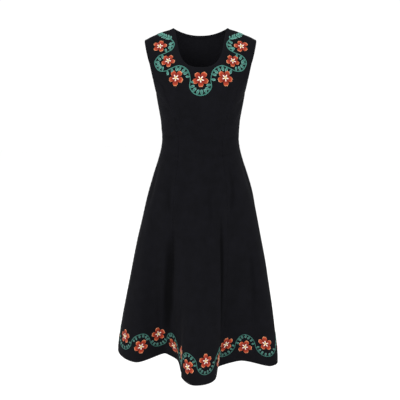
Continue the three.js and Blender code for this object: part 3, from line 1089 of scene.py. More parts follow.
class Cloth:
    """The whole dress as one surface of shared points, and the six panels cut out of it."""

    cloth_thickness = 1.2
    turned_thickness = 2.3
    turning = 8.0
    hem_turning = 25.0
    rounding = 0.75  # how far a point off the mesh goes from the flat face to the smooth surface
    bulge = 0.55  # how far an open edge stands out, as a share of its thickness
    most_painted_shade = 0.8  # the most of the painted shade's near-black that shows
    shallow = 1.3  # how deep a trough is before painted shade starts in it
    deepest = 5.3  # how deep a trough is where its painted shade is fullest
    lit_drop = 60.0  # how far down the inside stays free of painted shade
    inside_shade_drop = 140.0  # over which the painted shade inside grows to its deepest black

    def __init__(self, form: DressForm) -> None:
        """Samples the panels, joins them at their seams and lays the relief on them.

        Args:
            form: the dress's form.
        """
        self.form = form
        cutter = PanelCutter(form)
        cut = {
            "front": cutter.centre(Side.FRONT),
            "side_front_left": cutter.side(Side.FRONT, 1),
            "side_front_right": cutter.side(Side.FRONT, -1),
            "back": cutter.centre(Side.BACK),
            "side_back_left": cutter.side(Side.BACK, -1),
            "side_back_right": cutter.side(Side.BACK, 1),
        }
        points, flats, faces, owner = [], [], [], []
        first = 0
        for number, patches in enumerate(cut.values()):
            for patch in patches:
                rows, columns = patch.points.shape[:2]
                points.append(patch.points.reshape(-1, 3))
                flats.append(patch.flat.reshape(-1, 2))
                faces.append(grid_faces(first, rows, columns))
                owner.append(np.full(len(faces[-1]), number))
                first += rows * columns
        loose = np.concatenate(points)
        keys = np.round(loose * 50 + 0.137).astype(np.int64)
        _, kept, merged = np.unique(keys, axis=0, return_index=True, return_inverse=True)
        self.points = loose[kept]
        corners = np.concatenate(faces)
        self.faces = merged.reshape(-1)[corners]
        self.loop_flat = np.concatenate(flats)[corners]
        self.owner = np.concatenate(owner)
        self.names = list(cut)
        self.normals = self.point_normals(self.points)
        self.measure_edges()
        relief = Relief(form, turning=self.turning)
        heights = relief.heights(self.points, self.normals, self.to_seam, self.to_edge)
        self.outer = self.points + self.normals * heights[:, None]
        # painted shade: near-black for the troughs of the folds, and for the inside further down
        depth = (-heights - self.shallow) / (self.deepest - self.shallow)
        self.trough_shade = self.most_painted_shade * np.clip(depth, 0, 1)
        down = (-self.points[:, 2] - self.lit_drop) / self.inside_shade_drop
        self.inside = self.most_painted_shade * np.clip(down, 0, 1)
        self.normals = self.point_normals(self.outer)
        self.index = BVHTree.FromPolygons([Vector(p) for p in self.outer], [self.ring(f) for f in self.faces])

    @staticmethod
    def ring(face: Array) -> list[int]:
        """Gives a face's corners without repeats."""
        corners = [int(c) for c in face]
        return [c for i, c in enumerate(corners) if c != corners[i - 1]]

    def point_normals(self, points: Array) -> Array:
        """Averages the faces' normals at each point.

        Args:
            points: the places of the shared points.

        Returns:
            Unit normals.
        """
        a, b, c, d = (points[self.faces[:, i]] for i in range(4))
        facing = np.cross(c - a, d - b)
        normals = np.zeros_like(points)
        for i in range(4):
            np.add.at(normals, self.faces[:, i], facing)
        length = np.linalg.norm(normals, axis=1, keepdims=True)
        return normals / np.maximum(length, 1e-12)

    def rims(self, number: int) -> Array:
        """Finds the edges that only one face of a panel uses.

        Args:
            number: the panel's number.

        Returns:
            Directed edges, as pairs of point numbers.
        """
        faces = self.faces[self.owner == number]
        edges = np.concatenate([faces[:, [i, (i + 1) % 4]] for i in range(4)])
        edges = edges[edges[:, 0] != edges[:, 1]]
        size = len(self.points)
        forward = edges[:, 0] * size + edges[:, 1]
        backward = edges[:, 1] * size + edges[:, 0]
        return edges[~np.isin(forward, backward)]

    def measure_edges(self) -> None:
        """Tells seams from open edges, and measures each point's distance from the nearest of both."""
        size = len(self.points)
        self.panel_rims = [self.rims(i) for i in range(len(self.names))]
        every = np.concatenate(self.panel_rims)
        forward = every[:, 0] * size + every[:, 1]
        backward = every[:, 1] * size + every[:, 0]
        shared = np.isin(forward, backward)
        self.seam_edges = set(forward[shared].tolist())
        seam_ids = np.unique(every[shared])
        self.to_seam = self.distances(seam_ids)
        self.to_edge = self.distances(np.unique(every[~shared]))

    def distances(self, ids: Array) -> Array:
        """Measures how far every point is from the nearest of some points."""
        tree = kdtree.KDTree(len(ids))
        for number, place in enumerate(self.points[ids]):
            tree.insert(place, number)
        tree.balance()
        return np.array([tree.find(place)[2] for place in self.points])

    def settle(self, points: Array) -> tuple[Array, Array]:
        """Moves points onto the nearest place of the cloth's outer surface, smoothly between its own points.

        Args:
            points: the points.

        Returns:
            The places, and the normals there.
        """
        found = [self.index.find_nearest(Vector(point)) for point in points]
        place = np.array([hit[0] for hit in found])
        corner = self.faces[np.array([hit[2] for hit in found])]
        best_weights = np.zeros((len(points), 3))
        best_corners = np.zeros((len(points), 3), int)
        best = np.full(len(points), -np.inf)
        for triangle in ((0, 1, 2), (0, 2, 3)):
            ids = corner[:, triangle]
            a, b, c = (self.outer[ids[:, i]] for i in range(3))
            across = np.cross(b - a, c - a)
            area = np.maximum(np.einsum("ij,ij->i", across, across), 1e-12)
            wb = np.einsum("ij,ij->i", np.cross(place - a, c - a), across) / area
            wc = np.einsum("ij,ij->i", np.cross(b - a, place - a), across) / area
            weights = np.stack([1 - wb - wc, wb, wc], axis=1)
            inside = np.where(area > 1e-9, weights.min(axis=1), -np.inf)
            better = inside > best
            best = np.where(better, inside, best)
            best_weights[better], best_corners[better] = weights[better], ids[better]
        best_weights = np.clip(best_weights, 0, 1)
        best_weights /= np.maximum(best_weights.sum(axis=1, keepdims=True), 1e-9)
        normals = self.normals[best_corners]
        corners = self.outer[best_corners]
        lift = np.einsum("ikj,ikj->ik", corners - place[:, None], normals)
        rounded = place + self.rounding * np.einsum("ik,ik,ikj->ij", best_weights, lift, normals)
        normal = np.einsum("ik,ikj->ij", best_weights, normals)
        return rounded, normal / np.maximum(np.linalg.norm(normal, axis=1, keepdims=True), 1e-9)

    def level_point(self, side: Side, x: float, drop: float) -> Array:
        """Gives the cloth's place straight in from a side.

        Args:
            side: front or back.
            x: the distance from the centre line.
            drop: the level.

        Returns:
            The place.
        """
        start = Vector((x, side.value * 600.0, -drop))
        hit = self.index.ray_cast(start, Vector((0, -side.value, 0)))[0]
        return np.array(hit)

    def thickness(self) -> Array:
        """Gives the wall at each point: single cloth, and nearly twice that at a turned edge."""
        at_hem = self.points[:, 2] < -self.form.hem_drop + self.hem_turning
        turned = (self.to_edge < self.turning) | at_hem
        return np.where(turned, self.turned_thickness, self.cloth_thickness)

    def panel(self, cut: CutPanel, material: bpy.types.Material) -> bpy.types.Object:
        """Makes one panel as a closed thin shell.

        Args:
            cut: the panel's name and flat sizes.
            material: the cloth.

        Returns:
            The panel's object.
        """
        number = self.names.index(cut.name)
        chosen = self.owner == number
        faces, flat = self.faces[chosen], self.loop_flat[chosen]
        ids = np.unique(faces)
        place = np.full(len(self.points), -1)
        place[ids] = np.arange(len(ids))
        count = len(ids)
        outer = self.outer[ids]
        inner = outer - self.normals[ids] * self.thickness()[ids][:, None]
        # painted shade of the troughs and of the lower inside, read by the cloth's material
        trough_shade, inside = self.trough_shade[ids].tolist(), self.inside[ids].tolist()

        rim = self.panel_rims[number]
        size = len(self.points)
        is_open = np.array([(a * size + b) not in self.seam_edges for a, b in rim])
        middle = (outer + inner) / 2
        outward = np.zeros_like(outer)
        for (a, b), free in zip(rim, is_open):
            if free:
                along = self.outer[b] - self.outer[a]
                for corner in (a, b):
                    outward[place[corner]] += np.cross(along, self.normals[corner])
        length = np.linalg.norm(outward, axis=1, keepdims=True)
        bulge = outward / np.maximum(length, 1e-9) * (self.bulge * self.turned_thickness)
        middle = middle + np.where(length > 0, bulge, 0)
        rim_ids = np.unique(rim)
        rim_place = np.full(len(self.points), -1)
        rim_place[rim_ids] = 2 * count + np.arange(len(rim_ids))
        vertices = np.concatenate([outer, inner, middle[place[rim_ids]]])

        polygons: list[list[int]] = []
        uvs: list[tuple[float, float]] = []
        facing: list[tuple[float, float]] = []
        for face, spot in zip(place[faces], flat * METRES):
            keep = [i for i in range(4) if face[i] != face[i - 1]]
            if len(keep) < 3:
                continue
            polygons.append([int(face[i]) for i in keep])
            uvs.extend((spot[i][0], spot[i][1]) for i in keep)
            polygons.append([int(face[i]) + count for i in reversed(keep)])
            uvs.extend((spot[i][0], spot[i][1]) for i in reversed(keep))
            # each pair's second value is painted shade: troughs on the outside, the lower inside on the
            # inside
            facing.extend((0.0, trough_shade[face[i]]) for i in keep)
            facing.extend((1.0, inside[face[i]]) for i in reversed(keep))
        spots = {}
        for face, spot in zip(faces, flat * METRES):
            for corner, value in zip(face, spot):
                spots[int(corner)] = (value[0], value[1])
        for a, b in rim.tolist():
            rings = [(place[a], place[b]), (rim_place[a], rim_place[b]), (place[a] + count, place[b] + count)]
            for (a0, b0), (a1, b1) in zip(rings, rings[1:]):
                polygons.append([int(b0), int(a0), int(a1), int(b1)])
                uvs.extend([spots[b], spots[a], spots[a], spots[b]])

        mesh = bpy.data.meshes.new(cut.name)
        mesh.from_pydata((vertices * METRES).tolist(), [], polygons)
        facing.extend([(0.0, 0.0)] * (len(uvs) - len(facing)))
        for name, values in (("grain", uvs), ("facing", facing)):
            mesh.uv_layers.new(name=name).data.foreach_set("uv", np.array(values, np.float32).ravel())
        mesh.polygons.foreach_set("use_smooth", [True] * len(polygons))
        mesh.materials.append(material)
        mesh.update()
        panel = bpy.data.objects.new(f"cloth_{cut.name}", mesh)
        bpy.context.scene.collection.objects.link(panel)
        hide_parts(cut.name)
        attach(panel, BODY)
        return panel


# --------------------------------------------------------------------------------------------------
# Embroidery
# --------------------------------------------------------------------------------------------------


class Thread(Enum):
    """The colours of embroidery thread; the pieces of each colour take its material."""

    ORANGE = "thread_orange"
    RED = "thread_red"
    WHITE = "thread_white"
    YELLOW = "thread_yellow"
    GREEN = "thread_green"


@dataclass(frozen=True)
class RayonThread:
    """Viscose rayon floss in satin stitch: bright, dense colour with a silky, ribbed surface.

    To the eye each shape is a small padded cushion of parallel threads, paler where a lighter shade is worked
    in, and soft-edged in its shine, since the light slides along the threads. Painted shade darkens the
    grooves between the strands.
    """

    thread: Thread
    name: str
    shades: tuple[tuple[float, str], ...]  # shade at each share, from the deepest to the palest
    roughness: float = 0.5
    pitch: float = 1.1  # real strands lie 0.4 mm apart; drawn coarser, so that they show
    wobble_scale: float = 220.0  # changes over about 4.5 mm
    drift: float = 0.9  # how far a strand strays to the side
    unevenness: float = 0.13  # of the shade's share
    strand_groove_shade: float = 0.62  # painted shade: brightness in the grooves between strands
    relief: float = 0.25

    def build(self) -> bpy.types.Material:
        """Makes the material, with ribs across the stitches and the shades laid out by their share."""
        material, tree, output = new_material(self.name)
        stitch = add_node(tree, "UVMap", {"uv_map": "stitch"})
        shade = add_node(tree, "UVMap", {"uv_map": "shade"})
        lie = add_node(tree, "SeparateXYZ", Vector=stitch.outputs["UV"])
        tone = add_node(tree, "SeparateXYZ", Vector=shade.outputs["UV"])

        frequency = math.tau / (self.pitch * METRES)
        noise = {"Scale": self.wobble_scale, "Detail": 2.0}
        wobble = add_node(tree, "TexNoise", noise, Vector=stitch.outputs["UV"])
        stray = {"operation": "MULTIPLY", 1: self.drift * METRES}
        drift = add_node(tree, "Math", stray, i0=wobble.outputs["Fac"])
        across = add_node(tree, "Math", {"operation": "ADD"}, i0=lie.outputs["X"], i1=drift.outputs[0])
        across = add_node(tree, "Math", {"operation": "MULTIPLY", 1: frequency}, i0=across.outputs[0])
        ribs = add_node(tree, "Math", {"operation": "SINE"}, i0=across.outputs[0])

        spread = {"To Min": -self.unevenness, "To Max": self.unevenness}
        uneven = add_node(tree, "MapRange", spread, Value=wobble.outputs["Fac"])
        share = add_node(
            tree, "Math", {"operation": "ADD"}, i0=tone.outputs["X"], i1=uneven.outputs["Result"]
        )
        ramp = add_node(tree, "ValToRGB", Fac=share.outputs[0])
        steps = ramp.color_ramp.elements
        steps[0].position, steps[0].color = self.shades[0][0], linear(self.shades[0][1])
        steps[1].position, steps[1].color = self.shades[-1][0], linear(self.shades[-1][1])
        for place, colour in self.shades[1:-1]:
            steps.new(place).color = linear(colour)
        # painted shade: darker in the grooves between the strands
        between = add_node(
            tree,
            "MapRange",
            {"From Min": -1.0, "From Max": 0.1, "To Min": self.strand_groove_shade, "To Max": 1.0},
            Value=ribs.outputs[0],
        )
        value = add_node(
            tree, "Math", {"operation": "MULTIPLY"}, i0=between.outputs["Result"], i1=tone.outputs["Y"]
        )
        worked = add_node(tree, "HueSaturation", Color=ramp.outputs["Color"], Value=value.outputs[0])
        bump = add_node(
            tree, "Bump", {"Strength": 0.5, "Distance": self.relief * METRES}, Height=ribs.outputs[0]
        )
        floss = add_node(
            tree,
            "BsdfPrincipled",
            {
                "Roughness": self.roughness,
                "IOR": 1.52,
                "Specular IOR Level": 0.2,
                "Sheen Weight": 0.04,
                "Sheen Roughness": 0.35,
            },
            Base_Color=worked.outputs["Color"],
            Normal=bump.outputs["Normal"],
        )
        tree.links.new(floss.outputs["BSDF"], output.inputs["Surface"])
        return material


THREADS = (
    RayonThread(
        Thread.ORANGE,
        "orange_rayon_floss",
        ((0.0, "#5e1209"), (0.3, "#962610"), (0.6, "#c24e24"), (1.0, "#f8b284")),
    ),
    RayonThread(Thread.RED, "crimson_rayon_floss", ((0.0, "#86180e"), (1.0, "#ac2e18"))),
    RayonThread(Thread.WHITE, "ivory_rayon_floss", ((0.0, "#f0cdb4"), (0.4, "#fbeedd"), (1.0, "#fffaf0"))),
    RayonThread(Thread.YELLOW, "yellow_rayon_floss", ((0.0, "#e6b044"), (1.0, "#ffdf80"))),
    RayonThread(
        Thread.GREEN,
        "sea_green_rayon_floss",
        ((0.0, "#143c36"), (0.4, "#2a6458"), (0.7, "#4c8f82"), (1.0, "#86beb2")),
    ),
)


class Stitching:
    """Raised stitches of one colour, collected into one mesh."""

    def __init__(self, name: str, thread: Thread) -> None:
        """Starts with no stitches.

        Args:
            name: the piece's name.
            thread: its colour.
        """
        self.name, self.thread = name, thread
        self.points: list[Array] = []
        self.faces: list[Array] = []
        self.stitch: list[Array] = []
        self.shade: list[Array] = []
        self.count = 0

    def add(self, points: Array, stitch: Array, shade: Array) -> None:
        """Adds a grid of stitches.

        Args:
            points: the grid's points, rows by columns.
            stitch: for each point, millimetres across the threads and along them.
            shade: for each point, the share from the deepest shade to the palest, and the brightness.
        """
        rows, columns = points.shape[:2]
        self.faces.append(grid_faces(self.count, rows, columns))
        self.points.append(points.reshape(-1, 3))
        self.stitch.append(np.broadcast_to(stitch, (rows, columns, 2)).reshape(-1, 2))
        self.shade.append(np.broadcast_to(shade, (rows, columns, 2)).reshape(-1, 2))
        self.count += rows * columns

    def build(self, material: bpy.types.Material) -> bpy.types.Object:
        """Makes the mesh.

        Args:
            material: the thread.

        Returns:
            The piece.
        """
        corners = np.concatenate(self.faces)
        mesh = bpy.data.meshes.new(self.name)
        mesh.from_pydata((np.concatenate(self.points) * METRES).tolist(), [], corners.tolist())
        for layer, values, scale in (("stitch", self.stitch, METRES), ("shade", self.shade, 1.0)):
            uv = mesh.uv_layers.new(name=layer)
            each = np.concatenate(values)[corners.ravel()] * scale
            uv.data.foreach_set("uv", each.astype(np.float32).ravel())
        mesh.polygons.foreach_set("use_smooth", [True] * len(corners))
        mesh.materials.append(material)
        mesh.update()
        piece = bpy.data.objects.new(self.name, mesh)
        bpy.context.scene.collection.objects.link(piece)
        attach(piece, BODY)
        return piece


class Ground(Protocol):
    """Something that a flat motif can be laid on."""

    def lay(self, across: Array, up: Array, height: Array) -> Array:
        """Gives the places of a flat motif's points on the cloth.

        Args:
            across: millimetres from the motif's centre, to the right as seen from outside.
            up: millimetres from the motif's centre, upwards.
            height: millimetres off the cloth.

        Returns:
            The points.
        """


class FlatGround:
    """A small stretch of cloth round a place, laid on from its tangent plane."""

    def __init__(self, cloth: Cloth, centre: Array, turn: float = 0, squash: float = 1) -> None:
        """Finds the tangent plane.

        Args:
            cloth: the cloth.
            centre: the place.
            turn: degrees that the motif is turned, counter-clockwise as seen from outside.
            squash: the share of its height that the motif keeps.
        """
        self.cloth = cloth
        places, normals = cloth.settle(np.array(centre, float)[None, :])
        self.centre, normal = places[0], normals[0]
        right = np.cross((0, 0, 1.0), normal)
        right /= np.linalg.norm(right)
        true_up = np.cross(normal, right) * squash
        c, s = math.cos(math.radians(turn)), math.sin(math.radians(turn))
        self.right, self.up = c * right + s * true_up, c * true_up - s * right

    def lay(self, across: Array, up: Array, height: Array) -> Array:
        """Lays points from the tangent plane onto the cloth."""
        flat = self.centre + across[..., None] * self.right + up[..., None] * self.up
        places, normals = self.cloth.settle(flat.reshape(-1, 3))
        raised = places + normals * np.broadcast_to(height, across.shape).reshape(-1, 1)
        return raised.reshape(*across.shape, 3)


class HemChart:
    """Flat coordinates on the cloth above the hem, in millimetres: round the dress, and above the edge."""

    level = 70.0  # above the hem, where distances round the dress are true
    step = 5  # a drop, over which the cloth's slope is measured
    samples = 7201

    def __init__(self, cloth: Cloth, start_turn: float) -> None:
        """Measures round the dress.

        Args:
            cloth: the cloth.
            start_turn: where the distances start, in degrees from centre front.
        """
        self.cloth, self.form = cloth, cloth.form
        self.turns = start_turn + np.linspace(0, 360, self.samples)
        trace = self.form.body(self.turns, self.form.hem_drop - self.level)
        self.along = running_length(trace)
        self.length = float(self.along[-1])
        rise = self.form.body(self.turns, self.form.hem_drop - self.level - self.step) - trace
        self.slope = np.linalg.norm(rise, axis=1) / self.step

    def points(self, along: Array, above: Array) -> tuple[Array, Array]:
        """Gives places on the cloth.

        Args:
            along: millimetres round the dress.
            above: millimetres above the hem's edge, on the cloth.

        Returns:
            The places and the cloth's normals there.
        """
        wrapped = np.mod(along, self.length)
        turn = np.interp(wrapped, self.along, self.turns)
        drop = self.form.hem_drop - above / np.interp(wrapped, self.along, self.slope)
        places, normals = self.cloth.settle(self.form.body(turn, drop).reshape(-1, 3))
        return places.reshape(*along.shape, 3), normals.reshape(*along.shape, 3)


@dataclass(frozen=True)
class HemGround:
    """A place on the hem border."""

    chart: HemChart
    along: float
    above: float
    turn: float = 0

    def lay(self, across: Array, up: Array, height: Array) -> Array:
        """Lays points through the hem's flat coordinates."""
        c, s = math.cos(math.radians(self.turn)), math.sin(math.radians(self.turn))
        places, normals = self.chart.points(
            self.along + c * across - s * up, self.above + s * across + c * up
        )
        return places + normals * np.broadcast_to(height, across.shape)[..., None]


FULL_RADIUS = 27.5  # of the flower that the sizes below are given for
SUNK = -0.2  # height of a stitch's edge, a little inside the cloth


@dataclass(frozen=True)
class Flower:
    """A five-petalled flower: shaded petals, a crimson heart in each, a white ray on it, and yellow knots."""

    radius: float = FULL_RADIUS
    petals: int = 5
    petal_start: float = 3.5
    petal_half_width: float = 9.3
    petal_root: float = 3.4  # half width there
    petal_widest: float = 0.68  # share of its length
    notch: float = 1.7
    heart: tuple[float, float] = (4.0, 15.5)
    heart_half_width: float = 4.4
    ray: tuple[float, float] = (1.4, 12.4)
    ray_half_width: float = 2.05
    knot_radius: float = 1.55
    knot_ring: float = 2.9
    thread_rise: float = 1.0

    def work(self, ground: Ground, stitchings: dict[Thread, Stitching], draw: np.random.Generator) -> None:
        """Works one flower, with its first petal pointing down.

        Args:
            ground: where it lies.
            stitchings: what collects the stitches of each colour.
            draw: the source of small unevenness.
        """
        scale = self.radius / FULL_RADIUS
        for i in range(self.petals):
            aim = -90 + 360 * i / self.petals + draw.normal(0, 1.6)
            size = scale * (1 + draw.normal(0, 0.02))
            bright = 1 + draw.normal(0, 0.05)
            self.petal(ground, stitchings[Thread.ORANGE], aim, size, bright)
            self.blade(
                ground, stitchings[Thread.RED], aim, size, self.heart, self.heart_half_width, 1.0, bright
            )
            reach = (self.ray[0], self.ray[1] * (1 + draw.normal(0, 0.05)))
            self.blade(ground, stitchings[Thread.WHITE], aim, size, reach, self.ray_half_width, 1.35, 1.0)
        self.knots(ground, stitchings[Thread.YELLOW], scale)

    def petal(self, ground: Ground, stitching: Stitching, aim: float, size: float, bright: float) -> None:
        """Works one petal.

        Args:
            ground: where the flower lies.
            stitching: what collects the stitches.
            aim: the direction of the petal's axis, in degrees.
            size: its scale.
            bright: its brightness.
        """
        a, u = np.meshgrid(np.linspace(0, 1, 11), np.linspace(-1, 1, 11), indexing="ij")
        tip = FULL_RADIUS * (1 - 0.16 * np.abs(u) ** 3) - self.notch * np.exp(-((u / 0.2) ** 2))
        tip = tip + 0.35 * np.cos(3 * math.pi * u) * (1 - u**2)
        radial = self.petal_start + (tip - self.petal_start) * a
        swell = np.sin(math.pi / 2 * np.minimum(a / self.petal_widest, 1)) ** 1.15
        width = self.petal_root + (self.petal_half_width - self.petal_root) * swell
        width = width * (1 - 0.2 * np.clip((a - self.petal_widest) / 0.32, 0, 1) ** 2)
        across = u * width
        edge = np.minimum((1 - np.abs(u)) * width, (1 - a) * (tip - self.petal_start))
        height = SUNK + self.thread_rise * (1 - np.exp(-edge / 1.3)) + 0.12 * u
        share = 0.05 + 0.6 * a**1.5 + 0.5 * np.exp(-edge / 1.6) * a**1.2
        self.lay(ground, stitching, aim, size, radial, across, height, share, bright)

    def blade(
        self,
        ground: Ground,
        stitching: Stitching,
        aim: float,
        size: float,
        reach: tuple[float, float],
        half_width: float,
        base: float,
        bright: float,
    ) -> None:
        """Works a tapered drop along a petal's axis.

        Args:
            ground: where the flower lies.
            stitching: what collects the stitches.
            aim: the direction of its axis, in degrees.
            size: its scale.
            reach: where it starts and ends, from the flower's centre.
            half_width: its greatest half width.
            base: the height of what it lies on.
            bright: its brightness.
        """
        a, u = np.meshgrid(np.linspace(0, 1, 8), np.linspace(-1, 1, 5), indexing="ij")
        width = half_width * np.sin(math.pi * np.clip(a, 0.02, 0.985) ** 1.25) ** 0.6
        radial = reach[0] + (reach[1] - reach[0]) * a
        height = self.thread_rise * base - 0.35 + 0.45 * (1 - u**2)
        # painted highlight: the heart or ray is paler along its raised middle
        share = 0.25 + 0.6 * (1 - u**2) * np.ones_like(a)
        self.lay(ground, stitching, aim, size, radial, u * width, height, share, bright)

    def lay(
        self,
        ground: Ground,
        stitching: Stitching,
        aim: float,
        size: float,
        radial: Array,
        across: Array,
        height: Array,
        share: Array,
        bright: float,
    ) -> None:
        """Puts one grid of stitches along a petal's axis.

        Args:
            ground: where the flower lies.
            stitching: what collects the stitches.
            aim: the direction of the axis, in degrees.
            size: its scale.
            radial: distances along the axis.
            across: distances to the side of it.
            height: heights off the cloth.
            share: the share from the deepest shade to the palest.
            bright: the brightness.
        """
        c, s = math.cos(math.radians(aim)) * size, math.sin(math.radians(aim)) * size
        points = ground.lay(c * radial - s * across, s * radial + c * across, height)
        stitch = np.stack([across, radial], axis=-1)
        stitching.add(points, stitch, np.stack([share, np.full_like(share, bright)], axis=-1))

    def knots(self, ground: Ground, stitching: Stitching, scale: float) -> None:
        """Works the knots in the flower's middle.

        Args:
            ground: where the flower lies.
            stitching: what collects the stitches.
            scale: the flower's scale.
        """
        aims = np.radians(90 + 360 / self.petals * np.arange(self.petals))
        ring = [(self.knot_ring * math.cos(t), self.knot_ring * math.sin(t)) for t in aims]
        rise, turn = np.meshgrid(np.linspace(0, 1, 4), np.linspace(0, math.tau, 9), indexing="ij")
        for x, y in [(0.0, 0.0), *ring]:
            radius = self.knot_radius * np.cos(rise * math.pi / 2) * scale
            height = self.thread_rise * 1.25 + 1.15 * np.sin(rise * math.pi / 2) * scale
            points = ground.lay(x * scale + radius * np.cos(turn), y * scale + radius * np.sin(turn), height)
            stitch = np.stack([turn * 1.2, rise * 2], axis=-1)
            # painted highlight: each knot is paler towards its top
            shade = np.stack([0.3 + 0.7 * rise, np.ones_like(rise)], axis=-1)
            stitching.add(points[:, ::-1], stitch[:, ::-1], shade[:, ::-1])


@dataclass(frozen=True)
class Vine:
    """A stem with a pale cord on its outer side and a darker band inside, on which looped leaves stand."""

    cord_half_width: float = 1.25
    band_width: float = 3.2
    leaf_length: float = 18.5
    leaf_half_width: float = 4.5
    leaf_spacing: float = 17.6
    bright: float = 1.0
    step: float = 2.2
    tip_start: float = 0.62  # share of a leaf's length where its round tip starts

    def work(
        self,
        cloth: Cloth,
        line: Array,
        lean: Array,
        both: Array,
        stitching: tuple[Stitching, Stitching],
        draw: np.random.Generator,
    ) -> None:
        """Works a closed vine along a line on the cloth.

        Args:
            cloth: the cloth.
            line: closely spaced points round the vine.
            lean: at each point, the side that the leaves stand on: 1 is to the left of the line, -1 to the
                right, and near 0 the leaves are small.
            both: at each point, 1 where leaves stand on both sides and lean ahead, -1 where they lean back,
                else 0.
            stitching: what collects the stem's stitches and the leaves'.
            draw: the source of small unevenness.
        """
        closed = np.concatenate([line, line[:1]])
        along = running_length(closed)
        count = round(along[-1] / self.step)
        at = np.linspace(0, along[-1], count + 1)
        smooth_line = np.stack([np.interp(at, along, closed[:, i]) for i in range(3)], axis=-1)
        lean = np.interp(at, along, np.append(lean, lean[0]))
        both = np.interp(at, along, np.append(both, both[0]))
        places, normals = cloth.settle(smooth_line)
        ahead = np.roll(places[:-1], -1, axis=0) - np.roll(places[:-1], 1, axis=0)
        ahead = np.concatenate([ahead, ahead[:1]])
        ahead /= np.linalg.norm(ahead, axis=1, keepdims=True)
        left = np.cross(normals, ahead)
        left /= np.linalg.norm(left, axis=1, keepdims=True)

        cord = self.cord_half_width
        self.ribbon(cloth, places, left, at, -cord, cord, 1.05, 0.66, stitching[0])
        inner = np.sign(lean) * self.band_width * np.clip(np.abs(lean) * 1.6, 0, 1)
        self.ribbon(cloth, places, left, at, 0 * inner, inner, 0.7, 0.34, stitching[0])

        leaves = 2 * round(along[-1] / self.leaf_spacing)
        for number, where in enumerate((np.arange(leaves) + 0.5) * along[-1] / leaves):
            i = min(int(round(where / along[-1] * count)), count)
            paired = abs(both[i]) > 0.5
            if number % 2 and not paired:
                continue
            size = 0.74 if paired else 0.84 + 0.16 * min(1, abs(lean[i]) * 1.5)
            slim = 0.8 if paired else 1.0
            for hand in (1, -1) if paired else (1 if lean[i] >= 0 else -1,):
                bright = self.bright * (1 + draw.normal(0, 0.07))
                tilt = draw.normal(0, 5) - (48 * hand * np.sign(both[i]) if paired else 0)
                full = size * (1 + draw.normal(0, 0.04))
                self.leaf(
                    cloth, places[i], left[i] * hand, normals[i], full, slim, tilt, bright, stitching[1]
                )

    def ribbon(
        self,
        cloth: Cloth,
        places: Array,
        left: Array,
        at: Array,
        start: Array | float,
        end: Array | float,
        rise: float,
        share: float,
        stitching: Stitching,
    ) -> None:
        """Works a raised band along the vine.

        Args:
            cloth: the cloth.
            places: the vine's points.
            left: the direction to its left at each.
            at: distances along it.
            start: how far to the left the band starts.
            end: how far to the left it ends.
            rise: its height.
            share: its share from the deepest shade to the palest.
            stitching: what collects the stitches.
        """
        start = np.broadcast_to(start, at.shape)
        end = np.broadcast_to(end, at.shape)
        low, high = np.minimum(start, end), np.maximum(start, end)
        u = np.linspace(0, 1, 6)
        offset = low[:, None] + (high - low)[:, None] * u[None, :]
        settled, normals = cloth.settle((places[:, None] + left[:, None] * offset[..., None]).reshape(-1, 3))
        dome = (1 - (2 * u - 1) ** 4) * np.ones_like(offset)
        height = SUNK + rise * dome
        points = (settled + normals * height.reshape(-1, 1)).reshape(*offset.shape, 3)
        stitch = np.stack([at[:, None] + 0.5 * offset, offset], axis=-1)
        # the cord and the band differ as two shades of thread; within each, a painted highlight makes the
        # crest paler
        shade = np.stack([share * (0.75 + 0.25 * dome), np.full_like(dome, self.bright)], axis=-1)
        stitching.add(points[:, ::-1], stitch[:, ::-1], shade[:, ::-1])

    def leaf(
        self,
        cloth: Cloth,
        root: Array,
        aim: Array,
        normal: Array,
        size: float,
        slim: float,
        tilt: float,
        bright: float,
        stitching: Stitching,
    ) -> None:
        """Works one looped leaf: a pale raised rim round a darker, lower middle.

        Args:
            cloth: the cloth.
            root: where it leaves the stem.
            aim: the direction that it points in.
            normal: the cloth's normal there.
            size: its scale.
            slim: its width's share of a full leaf's.
            tilt: degrees that it leans over.
            bright: its brightness.
            stitching: what collects the stitches.
        """
        a, u = np.meshgrid(np.linspace(0, 1, 10), np.linspace(-1, 1, 9), indexing="ij")
        start = self.tip_start
        stalk = 0.2 + 0.8 * np.sin(math.pi / 2 * np.minimum(a / start, 1))
        tip = np.sqrt(np.clip(1 - ((a - start) / (1 - start)) ** 2, 0, 1))
        width = self.leaf_half_width * np.where(a < start, stalk, np.maximum(tip, 0.06)) * size * slim
        length = self.leaf_length * size
        edge = np.minimum((1 - np.abs(u)) * width, (1 - a) * length)
        core = np.clip((edge - 1.1) / 1.0, 0, 1)
        height = SUNK + 1.05 * (1 - np.exp(-edge / 0.55)) - 0.4 * core
        share = 1.0 - 0.38 * core - 0.3 * (1 - a)
        side = np.cross(normal, aim)
        c, s = math.cos(math.radians(tilt)), math.sin(math.radians(tilt))
        forward, right = c * aim + s * side, c * side - s * aim
        flat = root + (a * length)[..., None] * forward + (u * width)[..., None] * right
        settled, normals = cloth.settle(flat.reshape(-1, 3))
        points = (settled + normals * height.reshape(-1, 1)).reshape(*a.shape, 3)
        stitch = np.stack([a * length + 0.4 * np.abs(u) * width, u * width], axis=-1)
        shade = np.stack([share, np.full_like(share, bright)], axis=-1)
        stitching.add(points, stitch, shade)


@dataclass(frozen=True)
class NeckPlace:
    """A place on the neck border, by its side, its distance from the centre line and its drop."""

    side: Side
    x: float
    drop: float


@dataclass(frozen=True)
class VinePlace(NeckPlace):
    """A place that the neck's vine runs through, and the side of it that the leaves stand on."""

    lean: float
    both: float = 0


@dataclass(frozen=True)
class FlowerPlace(NeckPlace):
    """A flower's place, its turn (counter-clockwise on the wearer's right), its size and its flatness."""

    turn: float
    radius: float = FULL_RADIUS
    squash: float = 1.0


